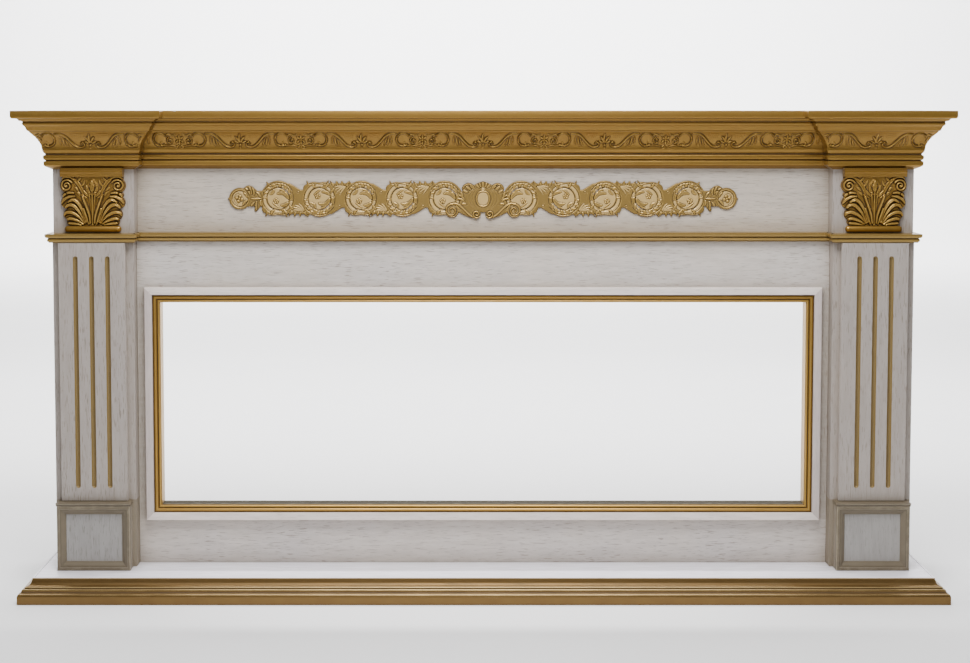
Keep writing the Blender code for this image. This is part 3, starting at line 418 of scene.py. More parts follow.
def convexity(outline: np.ndarray, reach: float = 1.7 * MM, full: float = 0.75 * MM) -> np.ndarray:
    """How much each point of a section stands out from what is beside it.

    Args:
        outline: The section's points, with the open side on their right.
        reach: How far along the section to look each way.
        full: The height that counts as fully worn.

    Returns:
        A number from -1, a hollow, to +1, an arris, for each point.
    """
    steps = np.hypot(*np.diff(outline, axis=0).T)
    length = np.concatenate(([0], np.cumsum(steps)))
    sides = []
    for shift in (-reach, reach):
        place = np.clip(length + shift, 0, length[-1])
        sides.append(np.column_stack([np.interp(place, length, outline[:, axis]) for axis in (0, 1)]))
    along = sides[1] - sides[0]
    normal = np.column_stack((along[:, 1], -along[:, 0]))
    normal /= np.maximum(np.hypot(*normal.T), 1e-9)[:, None]
    height = ((outline - (sides[0] + sides[1]) / 2) * normal).sum(1)
    return np.clip(height / full, -1, 1)


class Surface:
    """Points and faces that are put together into one mesh."""

    def __init__(self) -> None:
        """Start empty."""
        self.points: list[np.ndarray] = []
        self.wear: list[np.ndarray] = []
        self.cream: list[np.ndarray] = []
        self.faces: list[tuple[int, ...]] = []
        self.slots: list[int] = []
        self.count = 0

    def add_points(self, points: np.ndarray, wear: np.ndarray, cream: np.ndarray | None = None) -> int:
        """Add points with their wear and cream, and return the first one's number."""
        first = self.count
        self.points.append(points.reshape(-1, 3))
        self.wear.append(wear.reshape(-1))
        self.cream.append(np.zeros(wear.size) if cream is None else cream.reshape(-1))
        self.count += wear.size
        return first

    def add_face(self, corners: tuple[int, ...], turned: bool = False, slot: int = 0) -> None:
        """Add a face, turned round or not, in a material slot."""
        self.faces.append(corners[::-1] if turned else corners)
        self.slots.append(slot)

    def add_grid(self, points: np.ndarray, wear: np.ndarray, outward: Vector, slot: int = 0,
                 cream: np.ndarray | None = None, keep: np.ndarray | None = None) -> None:
        """Add a grid of quads.

        Args:
            points: The grid, rows by columns by 3.
            wear: The wear at each point.
            outward: A direction on the side that shows.
            slot: The material slot.
            cream: How cream each point is.
            keep: Which faces to keep.
        """
        rows, columns = points.shape[:2]
        first = self.add_points(points, wear, cream)
        diagonal = points[1:, 1:] - points[:-1, :-1]
        other = points[1:, :-1] - points[:-1, 1:]
        facing = np.cross(diagonal, other).reshape(-1, 3).sum(0)
        turned = float(np.dot(facing, np.array(outward))) < 0
        kept = np.ones((rows - 1, columns - 1), bool) if keep is None else keep
        for row, column in np.argwhere(kept).tolist():
            here = first + row * columns + column
            self.add_face((here, here + columns, here + columns + 1, here + 1), turned, slot)

    def add_prism(self, grid: np.ndarray, wear: np.ndarray, slots: tuple[int, ...], turned: bool) -> None:
        """Add a closed prism between two rings of points.

        Args:
            grid: The rings: a row for each point of the section, by the two ends, by 3.
            wear: The wear of each row.
            slots: The material slot of each span. Spans past the last are in the first slot.
            turned: Whether the section goes round the other way, seen along the prism.
        """
        count = len(grid)
        first = self.add_points(grid, np.repeat(wear[:, None], 2, 1))
        for index in range(count):
            here, there = first + 2 * index, first + 2 * ((index + 1) % count)
            slot = slots[index] if index < len(slots) else 0
            self.add_face((here, there, there + 1, here + 1), turned, slot)
        for end in (0, 1):
            ring = tuple(range(first + end, first + 2 * count, 2))
            self.add_face(ring, (end == 0) != turned)

    def build(self, name: str, finishes: list[bpy.types.Material],
              smooth_angle: float = 38) -> bpy.types.Object:
        """Make the object.

        Args:
            name: The piece's name.
            finishes: Its materials, by slot.
            smooth_angle: Edges sharper than this stay sharp, in degrees.

        Returns:
            The new object, linked to the scene.
        """
        mesh = bpy.data.meshes.new(name)
        mesh.from_pydata(np.concatenate(self.points).tolist(), [], self.faces)
        for finish in finishes:
            mesh.materials.append(finish)
        mesh.polygons.foreach_set("material_index", self.slots)
        for label, values in (("wear", self.wear), ("cream", self.cream)):
            layer = mesh.attributes.new(label, "FLOAT", "POINT")
            layer.data.foreach_set("value", np.concatenate(values).astype(np.float32))
        mesh.validate()
        mesh.shade_smooth()
        mesh.set_sharp_from_angle(angle=math.radians(smooth_angle))
        thing = bpy.data.objects.new(name, mesh)
        bpy.context.scene.collection.objects.link(thing)
        return thing

    def place(self, node: str, name: str, slot: str, finishes: list[bpy.types.Material],
              smooth_angle: float = 38) -> None:
        """Make a piece that rides with the portal and stands for a solid.

        Args:
            node: The solid that it replaces.
            name: The piece's name.
            slot: Not used.
            finishes: Its materials, by slot.
            smooth_angle: Edges sharper than this stay sharp, in degrees.
        """
        thing = self.build(name, finishes, smooth_angle)
        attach(thing, "root")
        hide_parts(node)
        LOG.info("%s: %d faces", thing.name, len(thing.data.polygons))


@dataclass(frozen=True)
class Section:
    """A moulding's section: its softened outline, its wear and its material slot by span."""

    outline: np.ndarray
    wear: np.ndarray
    slots: tuple[int, ...] = ()

    @classmethod
    def cut(cls, corners: Corners, turned: int = 1,
            pick: Callable[[np.ndarray], int] | None = None) -> "Section":
        """Cut a section.

        Args:
            corners: Its corners in metres.
            turned: +1 with the open side on the outline's right, -1 with it on the left.
            pick: Gives the material slot of a span from its middle.

        Returns:
            The section.
        """
        outline = rounded(corners)
        middles = (outline[:-1] + outline[1:]) / 2
        slots = tuple(pick(middle) for middle in middles) if pick else ()
        return cls(outline, turned * convexity(outline), slots)


@dataclass(frozen=True)
class Run:
    """One straight length of moulding, its section set out from a core plane.

    Along the run each end may slope with the projection: +1 at an outside corner, -1 at an
    inside corner, 0 square.
    """

    name: str
    origin: Vector
    along: Vector
    outward: Vector
    ends: tuple[float, float]
    slopes: tuple[int, int] = (0, 0)
    through: bool = False
    rising: Vector = UPWARD

    def stations(self, out: np.ndarray, count: int) -> np.ndarray:
        """Distances along the run, a row for each projection."""
        reach = out if self.through else np.maximum(out, 0)
        first = self.ends[0] - self.slopes[0] * reach
        last = self.ends[1] + self.slopes[1] * reach
        share = np.linspace(0, 1, count)
        return first[:, None] + (last - first)[:, None] * share[None, :]

    def place(self, distance: np.ndarray, out: np.ndarray, up: np.ndarray) -> np.ndarray:
        """Points at a distance along the run and a place in its section, as arrays alike."""
        points = np.array(self.origin) + distance[..., None] * np.array(self.along)
        return points + out[..., None] * np.array(self.outward) + up[..., None] * np.array(self.rising)

    def sweep(self, surface: Surface, section: Section, back: Iterable[Spot] = ()) -> None:
        """Put the moulding into a surface, closed by its back and both ends.

        Args:
            surface: Where the faces go.
            section: The section that shows.
            back: Further points (out, up) that close the section behind.
        """
        further = np.array(list(back)).reshape(-1, 2)
        outline = np.vstack((section.outline, further))
        out, up = outline[:, :1], outline[:, 1:]
        grid = self.place(self.stations(out[:, 0], 2), np.repeat(out, 2, 1), up)
        across = self.along.cross(self.outward).dot(self.rising)
        wear = np.concatenate((section.wear, np.zeros(len(further))))
        surface.add_prism(grid, wear, section.slots, across < 0)


@dataclass(frozen=True)
class Places:
    """The portal's planes and levels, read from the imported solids."""

    wall: float
    frieze: float
    panel: float
    block: float
    inner: float
    outer: float

    @classmethod
    def read(cls) -> "Places":
        """Read the places from the imported solids."""
        low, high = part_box("frieze_block_right")
        wall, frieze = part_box("side_panel_left")[1].y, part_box("frieze_panel")[0].y - SEAM
        return cls(wall, frieze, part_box("lower_panel")[0].y, low.y, low.x, high.x)

    def runs(self, centre: float, front: float, level: float) -> list[Run]:
        """The seven runs of a moulding that breaks forward over the pilasters.

        Args:
            centre: The Y of the core plane between the pilasters.
            front: The Y of the core plane over the pilasters.
            level: The height of the moulding's foot.

        Returns:
            The runs, with their ends on the mitres.
        """
        middle = (-self.inner, self.inner)
        runs = [Run("centre", Vector((0, centre, level)), RIGHTWARD, FORWARD, middle, (-1, -1))]
        for side, sign in SIDES:
            ends = tuple(sorted((sign * self.inner, sign * self.outer)))
            inner, outer = (Vector((sign * x, front, level)) for x in (self.inner, self.outer))
            outward = sign * RIGHTWARD
            runs += [
                Run("front_" + side, Vector((0, front, level)), RIGHTWARD, FORWARD, ends, (1, 1)),
                Run("return_" + side, inner, BACKWARD, -outward, (0, centre - front), (1, -1)),
                Run("side_" + side, outer, BACKWARD, outward, (0, self.wall - front), (1, 0)),
            ]
        return runs


def frame_runs(low: Vector, high: Vector, plane: float) -> list[Run]:
    """The four mitred members of a frame that lies flat on an upright plane.

    Args:
        low: The frame's lower left corner.
        high: Its upper right corner.
        plane: The Y of the plane.

    Returns:
        The members, whose sections go from the outer edge inward and out of the plane.
    """
    corners = [Vector((x, plane, z)) for x, z in
               ((low.x, high.z), (high.x, high.z), (high.x, low.z), (low.x, low.z), (low.x, high.z))]
    runs = []
    for name, start, stop in zip(("top", "right", "bottom", "left"), corners, corners[1:]):
        along = (stop - start).normalized()
        inward = Vector((along.z, 0, -along.x))
        runs.append(Run(name, start, along, inward, (0, (stop - start).length), (-1, -1), True, FORWARD))
    return runs


@dataclass(frozen=True)
class Stroke:
    """A carver's stroke: points in millimetres and the half width at each."""

    points: np.ndarray
    halves: np.ndarray

    def moved(self, u: float, v: float, flip_u: int = 1, flip_v: int = 1) -> "Stroke":
        """The stroke, flipped and then moved."""
        return Stroke(self.points * (flip_u, flip_v) + (u, v), self.halves)

    def thinned(self, share: float) -> "Stroke":
        """The same line with its half widths times a share."""
        return Stroke(self.points, self.halves * share)


def dot(u: float, v: float, radius: float) -> Stroke:
    """A round spot."""
    return Stroke(np.array([[u, v]], float), np.array([radius]))


def arc(centre: Spot, radius: Spot, turn: Spot, width: Spot, steps: int = 14) -> Stroke:
    """A stroke along an arc or a spiral.

    Args:
        centre: Its centre.
        radius: The first and last radius.
        turn: The first and last angle, in degrees.
        width: The first and last half width.
        steps: How many pieces it has.

    Returns:
        The stroke.
    """
    share = np.linspace(0, 1, steps + 1)
    angle = np.radians(turn[0] + (turn[1] - turn[0]) * share)
    reach = radius[0] + (radius[1] - radius[0]) * share
    points = np.column_stack((centre[0] + reach * np.cos(angle), centre[1] + reach * np.sin(angle)))
    return Stroke(points, width[0] + (width[1] - width[0]) * share)


def path(points: list[Spot], widths: list[float], steps: int = 5) -> Stroke:
    """A stroke along a smooth curve through a few points.

    Args:
        points: The points.
        widths: The half width at each of them.
        steps: How many pieces each stretch has.

    Returns:
        The stroke.
    """
    known = np.column_stack((np.array(points, float), np.array(widths, float)))
    padded = np.vstack((2 * known[0] - known[1], known, 2 * known[-1] - known[-2]))
    made = []
    for before, here, there, after in zip(padded, padded[1:], padded[2:], padded[3:]):
        for step in range(steps):
            t = step / steps
            made.append(0.5 * (2 * here + (there - before) * t
                               + (2 * before - 5 * here + 4 * there - after) * t**2
                               + (3 * here - before - 3 * there + after) * t**3))
    made.append(padded[-2])
    table = np.array(made)
    return Stroke(table[:, :2], np.maximum(table[:, 2], 0.2))


def leaf(root: Spot, tip: Spot, bend: float, half: float, steps: int = 8) -> Stroke:
    """A leaf: a stroke that swells in its middle and bends to one side.

    Args:
        root: Where it starts.
        tip: Where it ends.
        bend: How far its middle leaves the straight line, as a share of its length.
        half: Its largest half width.
        steps: How many pieces it has.

    Returns:
        The stroke.
    """
    start, along = np.array(root, float), np.array(tip, float) - np.array(root, float)
    across = np.array((-along[1], along[0]))
    share = np.linspace(0, 1, steps + 1)
    bow = np.sin(np.pi * share)
    points = start + along * share[:, None] + across * (bend * bow)[:, None]
    swell = np.sin(np.pi * (0.12 + 0.80 * share)) ** 0.8
    return Stroke(points, half * np.maximum(swell, 0.18))


class Cut(Enum):
    """How a stroke's section is shaped across its width."""

    ROUND = "round"
    FLAT = "flat"
    HOLLOW = "hollow"


class Sheet:
    """Carved heights over a flat rectangle, in millimetres, drawn stroke by stroke."""

    def __init__(self, u: Spot, v: Spot, pitch: float) -> None:
        """Lay out the sheet.

        Args:
            u: Its left and right.
            v: Its bottom and top.
            pitch: How far apart its heights are.
        """
        self.pitch = pitch
        self.u = np.arange(u[0], u[1] + pitch, pitch)
        self.v = np.arange(v[0], v[1] + pitch, pitch)
        shape = (len(self.v), len(self.u))
        self.rise = np.zeros(shape)
        self.cream = np.zeros(shape)
        self.beyond = np.full(shape, 30.0)

    def measure(self, stroke: Stroke, margin: float) -> tuple[tuple[slice, slice], np.ndarray, np.ndarray]:
        """Measure how far places are from a stroke.

        Args:
            stroke: The stroke.
            margin: How far round it to measure.

        Returns:
            The part of the sheet, which may be empty, the distance beyond the stroke's edge, and
            the distance from its line as a share of its half width.
        """
        reach = float(stroke.halves.max()) + margin
        low, high = stroke.points.min(0) - reach, stroke.points.max(0) + reach
        columns = slice(*np.searchsorted(self.u, (low[0], high[0])))
        rows = slice(*np.searchsorted(self.v, (low[1], high[1])))
        u, v = self.u[columns][None, :], self.v[rows][:, None]
        beyond = np.full((v.size, u.size), 1e3)
        share = beyond.copy()
        last = len(stroke.points) - 1
        for index in range(max(last, 1)):
            start, stop = stroke.points[index], stroke.points[min(index + 1, last)]
            first, final = stroke.halves[index], stroke.halves[min(index + 1, last)]
            along = stop - start
            length = max(float(along @ along), 1e-9)
            t = np.clip(((u - start[0]) * along[0] + (v - start[1]) * along[1]) / length, 0, 1)
            away = np.hypot(u - start[0] - t * along[0], v - start[1] - t * along[1])
            half = first + (final - first) * t
            nearer = away - half < beyond
            beyond = np.where(nearer, away - half, beyond)
            share = np.where(nearer, away / half, share)
        return (rows, columns), beyond, share

    def outline(self, *strokes: Stroke) -> None:
        """Let the plate reach as far as the strokes do."""
        for stroke in strokes:
            window, beyond, _ = self.measure(stroke, 12.0)
            self.beyond[window] = np.minimum(self.beyond[window], beyond)

    def lay(self, stroke: Stroke, level: float, cream: float = 0.0, bevel: float = 0.9) -> None:
        """Bring a stroke's area to one level, and make it cream or gold.

        Args:
            stroke: The stroke.
            level: The level.
            cream: How cream the area is.
            bevel: How wide the slope at its edge is.
        """
        window, beyond, _ = self.measure(stroke, bevel)
        amount = np.clip(0.5 - beyond / bevel, 0, 1)
        amount = amount * amount * (3 - 2 * amount)
        self.rise[window] += (level - self.rise[window]) * amount
        self.cream[window] += (cream - self.cream[window]) * amount

    def raise_up(self, stroke: Stroke, rise: float, base: float = 0.0, cut: Cut = Cut.ROUND) -> None:
        """Let a stroke stand up from a base, where it is higher than what is there.

        Args:
            stroke: The stroke.
            rise: How high its line stands.
            base: The level that it stands on.
            cut: Its section.
        """
        window, _, share = self.measure(stroke, 0.5)
        inside = np.clip(1 - share, 0, 1)
        if cut is Cut.ROUND:
            form = np.sqrt(np.clip(1 - share**2, 0, 1))
        elif cut is Cut.FLAT:
            form = np.clip(inside * 3.2, 0, 1)
        else:
            form = np.clip(inside * 3.5, 0, 1) * (0.55 + 0.45 * np.clip(share * 1.25, 0, 1) ** 2)
        height = np.where(share < 1, base + rise * form, -99)
        higher = height > self.rise[window]
        self.rise[window] = np.where(higher, height, self.rise[window])
        self.cream[window] = np.where(higher & (share < 0.95), 0, self.cream[window])

    def incise(self, stroke: Stroke, depth: float) -> None:
        """Cut a rounded groove along a stroke."""
        window, _, share = self.measure(stroke, 0.5)
        self.rise[window] -= depth * np.clip(1 - share**2, 0, 1)

    def ringed(self, stroke: Stroke, rise: float, base: float = 0.0, cut: Cut = Cut.ROUND,
               groove: float = 0.9, depth: float = 0.8) -> None:
        """Raise a stroke with a groove all round it, as a carver sets a form off.

        Args:
            stroke: The stroke.
            rise: How high its line stands.
            base: The level that it stands on.
            cut: Its section.
            groove: The groove's half width.
            depth: The groove's depth.
        """
        window, beyond, _ = self.measure(stroke, 2 * groove)
        around = np.clip(1 - ((beyond - groove * 0.5) / groove) ** 2, 0, 1)
        self.rise[window] -= depth * around * (beyond > -groove)
        self.raise_up(stroke, rise, base, cut)

    def edged(self, stroke: Stroke, depth: float, half: float = 1.1) -> None:
        """Cut a fine groove along a stroke's own edge."""
        window, beyond, _ = self.measure(stroke, half + 0.5)
        self.rise[window] -= depth * np.clip(1 - (beyond / half) ** 2, 0, 1)

    def veined(self, stroke: Stroke, rise: float, base: float = 0.0) -> None:
        """Raise a leaf with a groove for its midrib."""
        self.ringed(stroke, rise, base)
        self.incise(stroke.thinned(0.24), rise * 0.45)

    def flower(self, centre: Spot, radius: float, rise: float, base: float, petals: int = 5) -> None:
        """Carve a small flower with round petals and a boss.

        Args:
            centre: Its middle.
            radius: Its radius.
            rise: How high its petals stand.
            base: The level that it stands on.
            petals: How many petals it has.
        """
        for index in range(petals):
            angle = math.tau * index / petals + 0.3
            u, v = centre[0] + radius * 0.58 * math.cos(angle), centre[1] + radius * 0.58 * math.sin(angle)
            self.ringed(dot(u, v, radius * 0.36), rise, base, groove=0.6, depth=0.9)
        self.ringed(dot(*centre, radius * 0.26), rise * 1.2, base, groove=0.6, depth=0.7)

    def softened(self, values: np.ndarray, spread: float) -> np.ndarray:
        """The values blurred over a distance in millimetres."""
        reach = max(int(spread / self.pitch * 3), 1)
        offsets = np.arange(-reach, reach + 1) * self.pitch
        kernel = np.exp(-0.5 * (offsets / spread) ** 2)
        kernel /= kernel.sum()
        blurred = np.pad(values, reach, mode="edge")
        for axis in (1, 0):
            blurred = np.apply_along_axis(lambda line: np.convolve(line, kernel, "valid"), axis, blurred)
        return blurred

    def finish_up(self, soften: float = 0.35, hollow_reach: float = 1.9, full: float = 0.65) -> "Sheet":
        """Take the chisel's sharpness off, and work out where the surface is hollow.

        Args:
            soften: How far the heights are blurred.
            hollow_reach: How far round a place to look for what is higher.
            full: The height that counts as fully hollow or worn.

        Returns:
            The sheet.
        """
        self.rise = self.softened(self.rise, soften)
        self.cream = self.softened(self.cream, 0.35)
        around = self.softened(self.rise, hollow_reach)
        self.hollow = np.clip((self.rise - around) / full, -1, 1)
        return self

    def sample(self, values: np.ndarray, u: np.ndarray, v: np.ndarray) -> np.ndarray:
        """Read values between the sheet's points."""
        column = np.clip((u - self.u[0]) / self.pitch, 0, len(self.u) - 1.001)
        row = np.clip((v - self.v[0]) / self.pitch, 0, len(self.v) - 1.001)
        left, low = column.astype(int), row.astype(int)
        right, high = column - left, row - low
        lower = values[low, left] * (1 - right) + values[low, left + 1] * right
        upper = values[low + 1, left] * (1 - right) + values[low + 1, left + 1] * right
        return lower * (1 - high) + upper * high


@dataclass(frozen=True)
class Assembly:
    """A part of the mantelpiece that is made and dressed in one go."""

    places: Places
    finishes: Finishes


@dataclass(frozen=True)
class Cornice(Assembly):
    """The gold cornice: a cyma crown over a carved cove, a bead and a foot."""

    # One period of the carved band, in millimetres, and the band's width on the sheet.
    period: float = 258.0
    band: float = 37.5
    carving_pitch: float = 1.05

    # The carving starts a little way from each mitre and rises to its full height.
    plain_end: float = 2.0
    fading: float = 4.0

    # How much of the dark glaze and of the rubbed gold shows on the foot, and on the rest.
    foot_share: float = 0.8
    glaze_share: float = 0.62

    # The cove's foot and top as shares of the cornice's projection and height.
    cove_out: Spot = (0.25, 0.545)
    cove_up: Spot = (0.335, 0.635)
    cove_slant: float = 1.12
    below: tuple = (
        (0.0, 0.0, 0), (0.17, 0.05, 1.2), (0.22, 0.075, 1.0), (0.22, 0.135, 0.8), (0.165, 0.15, 0.6),
        (0.17, 0.158, 0.6), (0.225, 0.175, 3.0), (0.235, 0.235, 3.0), (0.175, 0.25, 0.5),
        (0.175, 0.268, 0.4), (0.21, 0.285, 0.8), (0.235, 0.31, 1.2), (0.25, 0.335, 0.5),
    )
    above: tuple = (
        (0.545, 0.635, 0.5), (0.565, 0.655, 0.6), (0.61, 0.665, 2.0), (0.655, 0.735, 2.4), (0.70, 0.755, 1.2),
        (0.725, 0.785, 1.4), (0.705, 0.81, 0.5), (0.735, 0.825, 0.5), (0.79, 0.828, 1.6), (0.835, 0.865, 1.6),
        (0.965, 0.868, 1.4), (1.0, 0.895, 1.2), (1.0, 1.0, 0.8),
    )

    def drawing(self) -> Sheet:
        """Draw one period of the band: a rosette between C scrolls, a palmette between S scrolls."""
        sheet = Sheet((-self.period / 2 - 2, self.period / 2 + 2), (0, 38), 0.45)
        for sign in (-1, 1):
            self.draw_rosette_side(sheet, sign)
            for centre in (-self.period / 2, self.period / 2):
                self.draw_palmette_side(sheet, sign, centre)
        self.draw_middles(sheet)
        fade = np.clip(np.minimum(sheet.v, self.band - sheet.v) / 2.0, 0, 1)
        sheet.rise *= fade[:, None]
        return sheet.finish_up()

    def draw_rosette_side(self, sheet: Sheet, sign: int) -> None:
        """Draw the C scroll and the inner curl at one side of a rosette."""
        for stroke, rise in (
            (arc((41, 21.5), (14.6, 13.6), (150, -125), (1.1, 1.9)), 3.0),
            (arc((35.5, 14.5), (6.5, 3.0), (-80, 60), (1.7, 1.2), 6), 2.4),
            (arc((19.5, 19), (7.4, 2.0), (75, -330), (1.5, 1.1)), 2.4),
            (path([(34, 8.5), (24, 9.5), (14, 8.0), (5, 4.5)], [1.3, 1.2, 1.2, 1.0]), 2.0),
            (path([(8, 33), (16, 30.5), (24, 33), (29, 28)], [0.9, 1.4, 1.4, 0.9]), 1.8),
        ):
            sheet.ringed(stroke.moved(0, 0, sign), rise, groove=1.1)
        sheet.raise_up(dot(40.0 * sign, 20.5, 9.0), 0.9)

    def draw_palmette_side(self, sheet: Sheet, sign: int, centre: float) -> None:
        """Draw the S scroll, its drop leaves and the punched ground at one side of a palmette."""
        scroll = path([(20.5, 13), (17, 16.5), (12.5, 13.5), (14, 8), (22, 5.5), (31, 8.5), (40, 17),
                       (50, 28), (60, 34), (72, 34.5)], [1.1, 1.3, 1.4, 1.6, 1.9, 2.1, 2.2, 2.1, 1.8, 1.1])
        sheet.ringed(scroll.moved(centre, 0, sign), 3.0, groove=1.1)
        for root, tip, half in (((52, 24), (46, 8), 1.7), ((57, 27), (53, 8), 1.9),
                                ((62, 28), (62, 11), 1.5)):
            sheet.ringed(leaf(root, tip, 0.06, half).moved(centre, 0, sign), 1.6, groove=0.8)
        for row in range(3):
            for column in range(6):
                u, v = 17.5 + column * 3.8 + row * 1.1, 33.5 - row * 3.6
                if u <= 47 - row * 5:
                    sheet.incise(dot(u, v, 1.3).moved(centre, 0, sign), 0.9)

    def draw_middles(self, sheet: Sheet) -> None:
        """Draw the rosette and the palmettes that the scrolls stand beside."""
        for sign in (-1, 1):
            for tip, half in (((8.5, 27), 2.2), ((8.5, 14), 2.0)):
                sheet.veined(leaf((1.5, 20.5), tip, 0.12, half).moved(0, 0, sign), 2.2)
            sheet.veined(leaf((1.0, 9.0), (7.5, 3.0), 0.15, 1.6).moved(0, 0, sign), 1.6)
        for tip in ((0, 31), (0, 10)):
            sheet.veined(leaf((0, 20.5), tip, 0, 2.3), 2.4)
        sheet.ringed(dot(0.0, 20.5, 2.6), 3.2, groove=0.8)
        for centre in (-self.period / 2, self.period / 2):
            for angle, length, half in ((90, 22, 2.5), (58, 19, 2.3), (122, 19, 2.3), (26, 14, 2.0),
                                        (154, 14, 2.0)):
                turn = math.radians(angle)
                root, tip = ((centre + far * math.cos(turn), 12 + far * math.sin(turn))
                             for far in (4, length))
                sheet.veined(leaf(root, tip, 0.10 * math.copysign(1, 90 - angle), half), 2.6)
            sheet.ringed(dot(centre, 10.0, 2.6), 2.8, groove=0.8)
            sheet.ringed(leaf((centre, 7), (centre, 2), 0, 1.6), 1.6, groove=0.6)

    def build(self) -> None:
        """Make the seven mitred runs."""
        places = self.places
        low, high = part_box("cornice_centre")
        board_low, board_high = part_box("mantel_board")
        projection, height = places.frieze - low.y, high.z - low.z
        seat = board_low.z - low.z - SEAM
        inner = projection - (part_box("cornice_side_right")[1].x - board_high.x - SEAM)
        sheet = self.drawing()
        foot = Section.cut(sized(self.below, projection, height))
        crown = Section.cut(sized(self.above, projection, height) + [(inner, height, 0)])
        cove = self.cove(projection, height, np.linspace(0, 1, 5)[1:-1])[0]
        wear = (foot.wear * self.foot_share, np.zeros(len(cove)), crown.wear * self.glaze_share)
        whole = Section(np.vstack((foot.outline, cove, crown.outline)), np.concatenate(wear))
        for run in places.runs(places.frieze, places.block, low.z):
            surface = Surface()
            run.sweep(surface, whole, [(inner, seat), (SEAM, seat)])
            # The carving takes the place of the plain cove.
            first = len(foot.outline) - 1
            del surface.faces[first : first + len(cove) + 1]
            del surface.slots[first : first + len(cove) + 1]
            self.carve(surface, run, sheet, projection, height)
            node = "cornice_" + run.name
            surface.place(node, node + "_carved", "antique_gold", [self.finishes.gold])

    def cove(self, projection: float, height: float, share: np.ndarray) -> tuple[np.ndarray, np.ndarray]:
        """Points of the cove's surface and the directions out of it, as (out, up)."""
        out_span = (self.cove_out[1] - self.cove_out[0]) * projection
        up_span = (self.cove_up[1] - self.cove_up[0]) * height
        points = np.column_stack((self.cove_out[0] * projection + out_span * share**2,
                                  self.cove_up[0] * height + up_span * share))
        along = np.column_stack((2 * out_span * share, np.full(share.shape, up_span)))
        along /= np.hypot(*along.T)[:, None]
        return points, np.column_stack((along[:, 1], -along[:, 0]))

    def carve(self, surface: Surface, run: Run, sheet: Sheet, projection: float, height: float) -> None:
        """Lay the carved band into the cove of one run, with a palmette in its middle.

        Args:
            surface: Where the faces go.
            run: The run.
            sheet: One period of the band.
            projection: The cornice's projection.
            height: The cornice's height.
        """
        length = (self.cove_up[1] - self.cove_up[0]) * height / MM * self.cove_slant
        share = np.linspace(0, 1, max(int(length / self.carving_pitch), 8) + 1)
        points, normals = self.cove(projection, height, share)
        columns = max(int((run.ends[1] - run.ends[0]) / MM / self.carving_pitch), 8)
        distance = run.stations(points[:, 0], columns + 1)
        u = (distance - (run.ends[0] + run.ends[1]) / 2) / MM + self.period / 2
        u = (u + self.period / 2) % self.period - self.period / 2
        v = np.repeat((share * self.band)[:, None], columns + 1, 1)
        ends = np.minimum(distance - distance[:, :1], distance[:, -1:] - distance) / MM
        fade = np.clip((ends - self.plain_end) / self.fading, 0, 1)
        if run.name.startswith("return"):
            fade = fade * 0
        rise = sheet.sample(sheet.rise, u, v) * fade * MM
        wear = sheet.sample(sheet.hollow, u, v) * fade * self.glaze_share
        out, up = (points[:, axis][:, None] + normals[:, axis][:, None] * rise for axis in (0, 1))
        surface.add_grid(run.place(distance, out, up), wear, run.outward)


@dataclass(frozen=True)
class Architrave(Assembly):
    """The slim gold moulding between the shafts and the frieze: an ovolo and fillet over a bead."""

    shares: tuple = (
        (0.36, 0.0, 0.2), (0.40, 0.10, 0.3), (0.60, 0.16, 1.6), (0.66, 0.34, 1.6), (0.50, 0.46, 0.3),
        (0.47, 0.52, 0.3), (0.84, 0.58, 1.5), (0.98, 0.72, 1.2), (1.0, 0.84, 0.4), (1.0, 1.0, 0.4),
    )

    def build(self) -> None:
        """Make the seven mitred runs."""
        places = self.places
        low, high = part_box("architrave_centre")
        height = high.z - low.z
        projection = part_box("architrave_side_right")[1].x - places.outer
        section = Section.cut(sized(self.shares, projection, height))
        centre = low.y + projection
        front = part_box("architrave_front_left")[0].y + projection
        tails = {"centre": places.frieze - centre, "front": places.block - front}
        for run in places.runs(centre, front, low.z):
            surface = Surface()
            tail = SEAM - tails.get(run.name.split("_")[0], 0)
            run.sweep(surface, section, [(tail, height), (tail, 0)])
            node = "architrave_" + run.name
            surface.place(node, node + "_gilt", "antique_gold", [self.finishes.pale_gold])


@dataclass(frozen=True)
class BaseMoulding(Assembly):
    """The gold foot moulding on three sides, with a white lip before the top board."""

    lip: float = 4.0 * MM
    tongue: float = 20 * MM

    # Above this share of the height the lip is white.
    white_from: float = 0.985
    shares: tuple = (
        (1.0, 0.0, 0), (1.0, 0.34, 1.2), (0.93, 0.43, 1.6), (0.78, 0.45, 1.4), (0.70, 0.49, 0.8),
        (0.70, 0.535, 0.6), (0.66, 0.60, 1.6), (0.51, 0.605, 0.4), (0.485, 0.61, 0.3), (0.48, 0.67, 1.5),
        (0.41, 0.68, 1.0), (0.24, 0.705, 2.5), (0.09, 0.775, 2.5), (0.03, 0.88, 2.0), (0.0, 0.93, 0.4),
        (0.0, 1.0, 0.7),
    )

    def build(self) -> None:
        """Make the front and the two sides."""
        low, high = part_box("base_moulding_front")
        board_low, board_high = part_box("base_top_board")
        height = high.z - low.z
        half = board_high.x + self.lip + SEAM
        projection = high.x - half + SEAM / 2
        front = low.y + projection
        foot = self.lip + self.tongue
        seat = board_low.z - SEAM
        section = Section.cut(sized(self.shares, projection, height) + [(-self.lip, height, 0)],
                              pick=lambda middle: int(middle[1] > height * self.white_from))
        runs = [Run("front", Vector((0, front, 0)), RIGHTWARD, FORWARD, (-half, half), (1, 1), True)]
        for side, sign in SIDES:
            ends = (0, self.places.wall - front)
            corner = Vector((sign * half, front, 0))
            runs.append(Run(side, corner, BACKWARD, sign * RIGHTWARD, ends, (1, 0), True))
        for run in runs:
            surface = Surface()
            run.sweep(surface, section, [(-self.lip, seat), (-foot, seat), (-foot, 0)])
            surface.place("base_moulding_" + run.name, "base_" + run.name + "_moulded", "antique_gold",
                          [self.finishes.base_gold, self.finishes.smooth])


